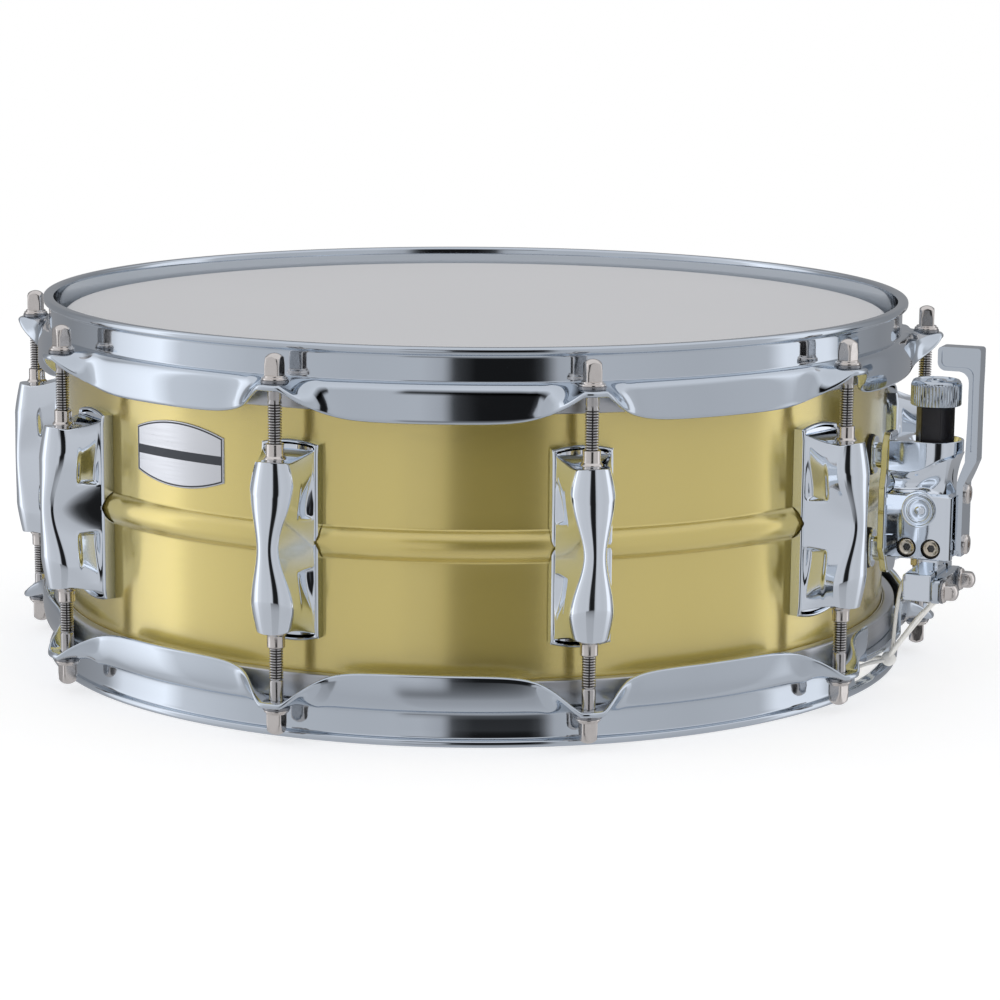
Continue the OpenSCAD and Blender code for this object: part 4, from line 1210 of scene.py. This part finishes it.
def make_cords():
    cords = join("cords_clamped", doubled(STRAND) + [tube(smooth_path(RIBBON), 1.8, 0.68, 24)])
    put(cords, "clamp", "nylon_cord", "strainer_cords")
    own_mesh(cords)
    put(join("cords_knot", doubled(TAIL) + [make_knot()]), "snares", "nylon_cord", "strainer_cords")
    parts = [tube(smooth_path(route), 1.38, 1.38, 24, TWIST, LOBES) for route in (BUTT, flip(BUTT))]
    put(at_butt(join("cords_butt", parts)), "root", "nylon_cord", "butt_cords")


def make_end_plate(name, turn, node_name):
    outline = [(158, -21, 1), (168, -21, 2), (172, -17, 2), (172, 17, 2), (168, 21, 2), (158, 21, 1)]
    plate = prism(name, rounded(outline, 1, 6), 4.4, 5.43, "z", PLATE_BRASS, 0.2, 40)
    holes = [bar(3, 7, 1.6, PLATE_BRASS, (168.5, sign * CORD_Y, 0)) for sign in BOTH]
    cut(plate, [join("holes", holes)], sharp=40)
    put(shifted(plate, spin(turn)), "snares", "brass_plate", node_name)


def make_wires():
    """Twenty coiled wires side by side, as one mesh."""
    count, pitch, half, height = 20, 1.9, 160, 6.2
    turns, per, coil_r, wire_r = 200, 7, 0.55, 0.19
    rows = []
    for i in range(turns * per + 1):
        c, s = math.cos(math.tau * i / per), math.sin(math.tau * i / per)
        x = -half + 2 * half * i / (turns * per)
        row = []
        for u, v in ring(4, wire_r):
            row.append((min(half, max(-half, x + v)), (coil_r + u) * c, height + (coil_r + u) * s))
        rows.append(row)
    verts, faces = skin(rows)
    all_verts, all_faces = [], []
    for w in range(count):
        shift = (w - (count - 1) / 2) * pitch
        all_faces += [tuple(v + len(all_verts) for v in f) for f in faces]
        all_verts += [(x * MM, (y + shift) * MM, z * MM) for x, y, z in verts]
    mesh = bpy.data.meshes.new("wires_coiled")
    mesh.from_pydata(all_verts, [], all_faces)
    mesh.materials.append(WIRE)
    wires = add("wires_coiled", mesh)
    smooth(wires, 80)
    put(wires, "snares", "steel_wire", "snare_wires")


def make_snares():
    make_end_plate("plate_end_strainer", 0, "snare_plate_strainer")
    make_end_plate("plate_end_butt", 180, "snare_plate_butt")
    make_wires()


# ---- butt end, drawn on the +X side and turned round ----
def make_butt():
    ends = (-8, 8)
    outline = [(179.6, 38, 0.8), (196.4, 38, 1.0), (196.4, 56, 2.0), (190, 56, 6), (179.6, 56, 1)]
    body = prism("butt_cast", rounded(outline, 1, 6), -15, 15, "y", LIT_CASTING, 0.8, 40)
    tools = [bar(188.8, 199, 2.55, LIT_CASTING, (0, 0, BUTT_Z), "x")]
    for sign, y in zip(BOTH, ends):
        tools += cord_way(BUTT_CORD_X, sign, 198, 58)
        tools.append(bar(178, 187.6, 2.5, LIT_CASTING, (0, y, BUTT_Z), "x"))
    put(at_butt(cut(body, tools, sharp=40)), "root", "chrome", "butt_body")
    pad = prism("pad", rounded(rect(-16, 37, 16, 57), 2.5, 6), 176, 179.58, "x", RUBBER, 0.5, 40)
    pad = gasket("gasket_butt", pad, [(y, BUTT_Z) for y in ends])
    put(at_butt(pad), "root", "black_rubber", "butt_gasket")
    screws = [mount_screw(y, BUTT_Z, 4.5, 0.8, 176.25, 187.1, 2.2, 174) for y in ends]
    put(at_butt(join("screws_butt", screws)), "root", "plated_steel", "butt_mount_screws")
    outline = rect(-15, 41, 15, 53)
    plate = pressed_plate("butt_plate_pressed", outline, 2.0, (196.45, 199.88), (195, 202), [(0, BUTT_Z)])
    put(at_butt(plate), "root", "chrome", "butt_clamp_plate")
    put(at_butt(join("bolt_butt", [bolt(200.9, 0, BUTT_Z)])), "root", "nickel", "butt_bolts")
    put(at_butt(ring_washer("washer_butt", 199.9, 0, BUTT_Z)), "root", "plated_steel", "butt_bolt_washers")


set_camera()
make_world()
make_floor()
make_shell()
make_hoop("batter_hoop_pressed", "batter_hoop", False)
make_hoop("snare_hoop_pressed", "snare_hoop", True)
make_head("batter", FILM, "coated_film", Matrix())
make_head("snare", CLEAR, "clear_film", lower())
make_lugs()
make_fasteners()
make_badge()
make_vent()
make_bracket()
make_casing_strainer()
make_lever()
make_stem()
make_knob()
make_clamp()
make_cords()
make_snares()
make_butt()

scene = bpy.context.scene
scene.view_settings.view_transform = "Standard"
scene.view_settings.look = "None"
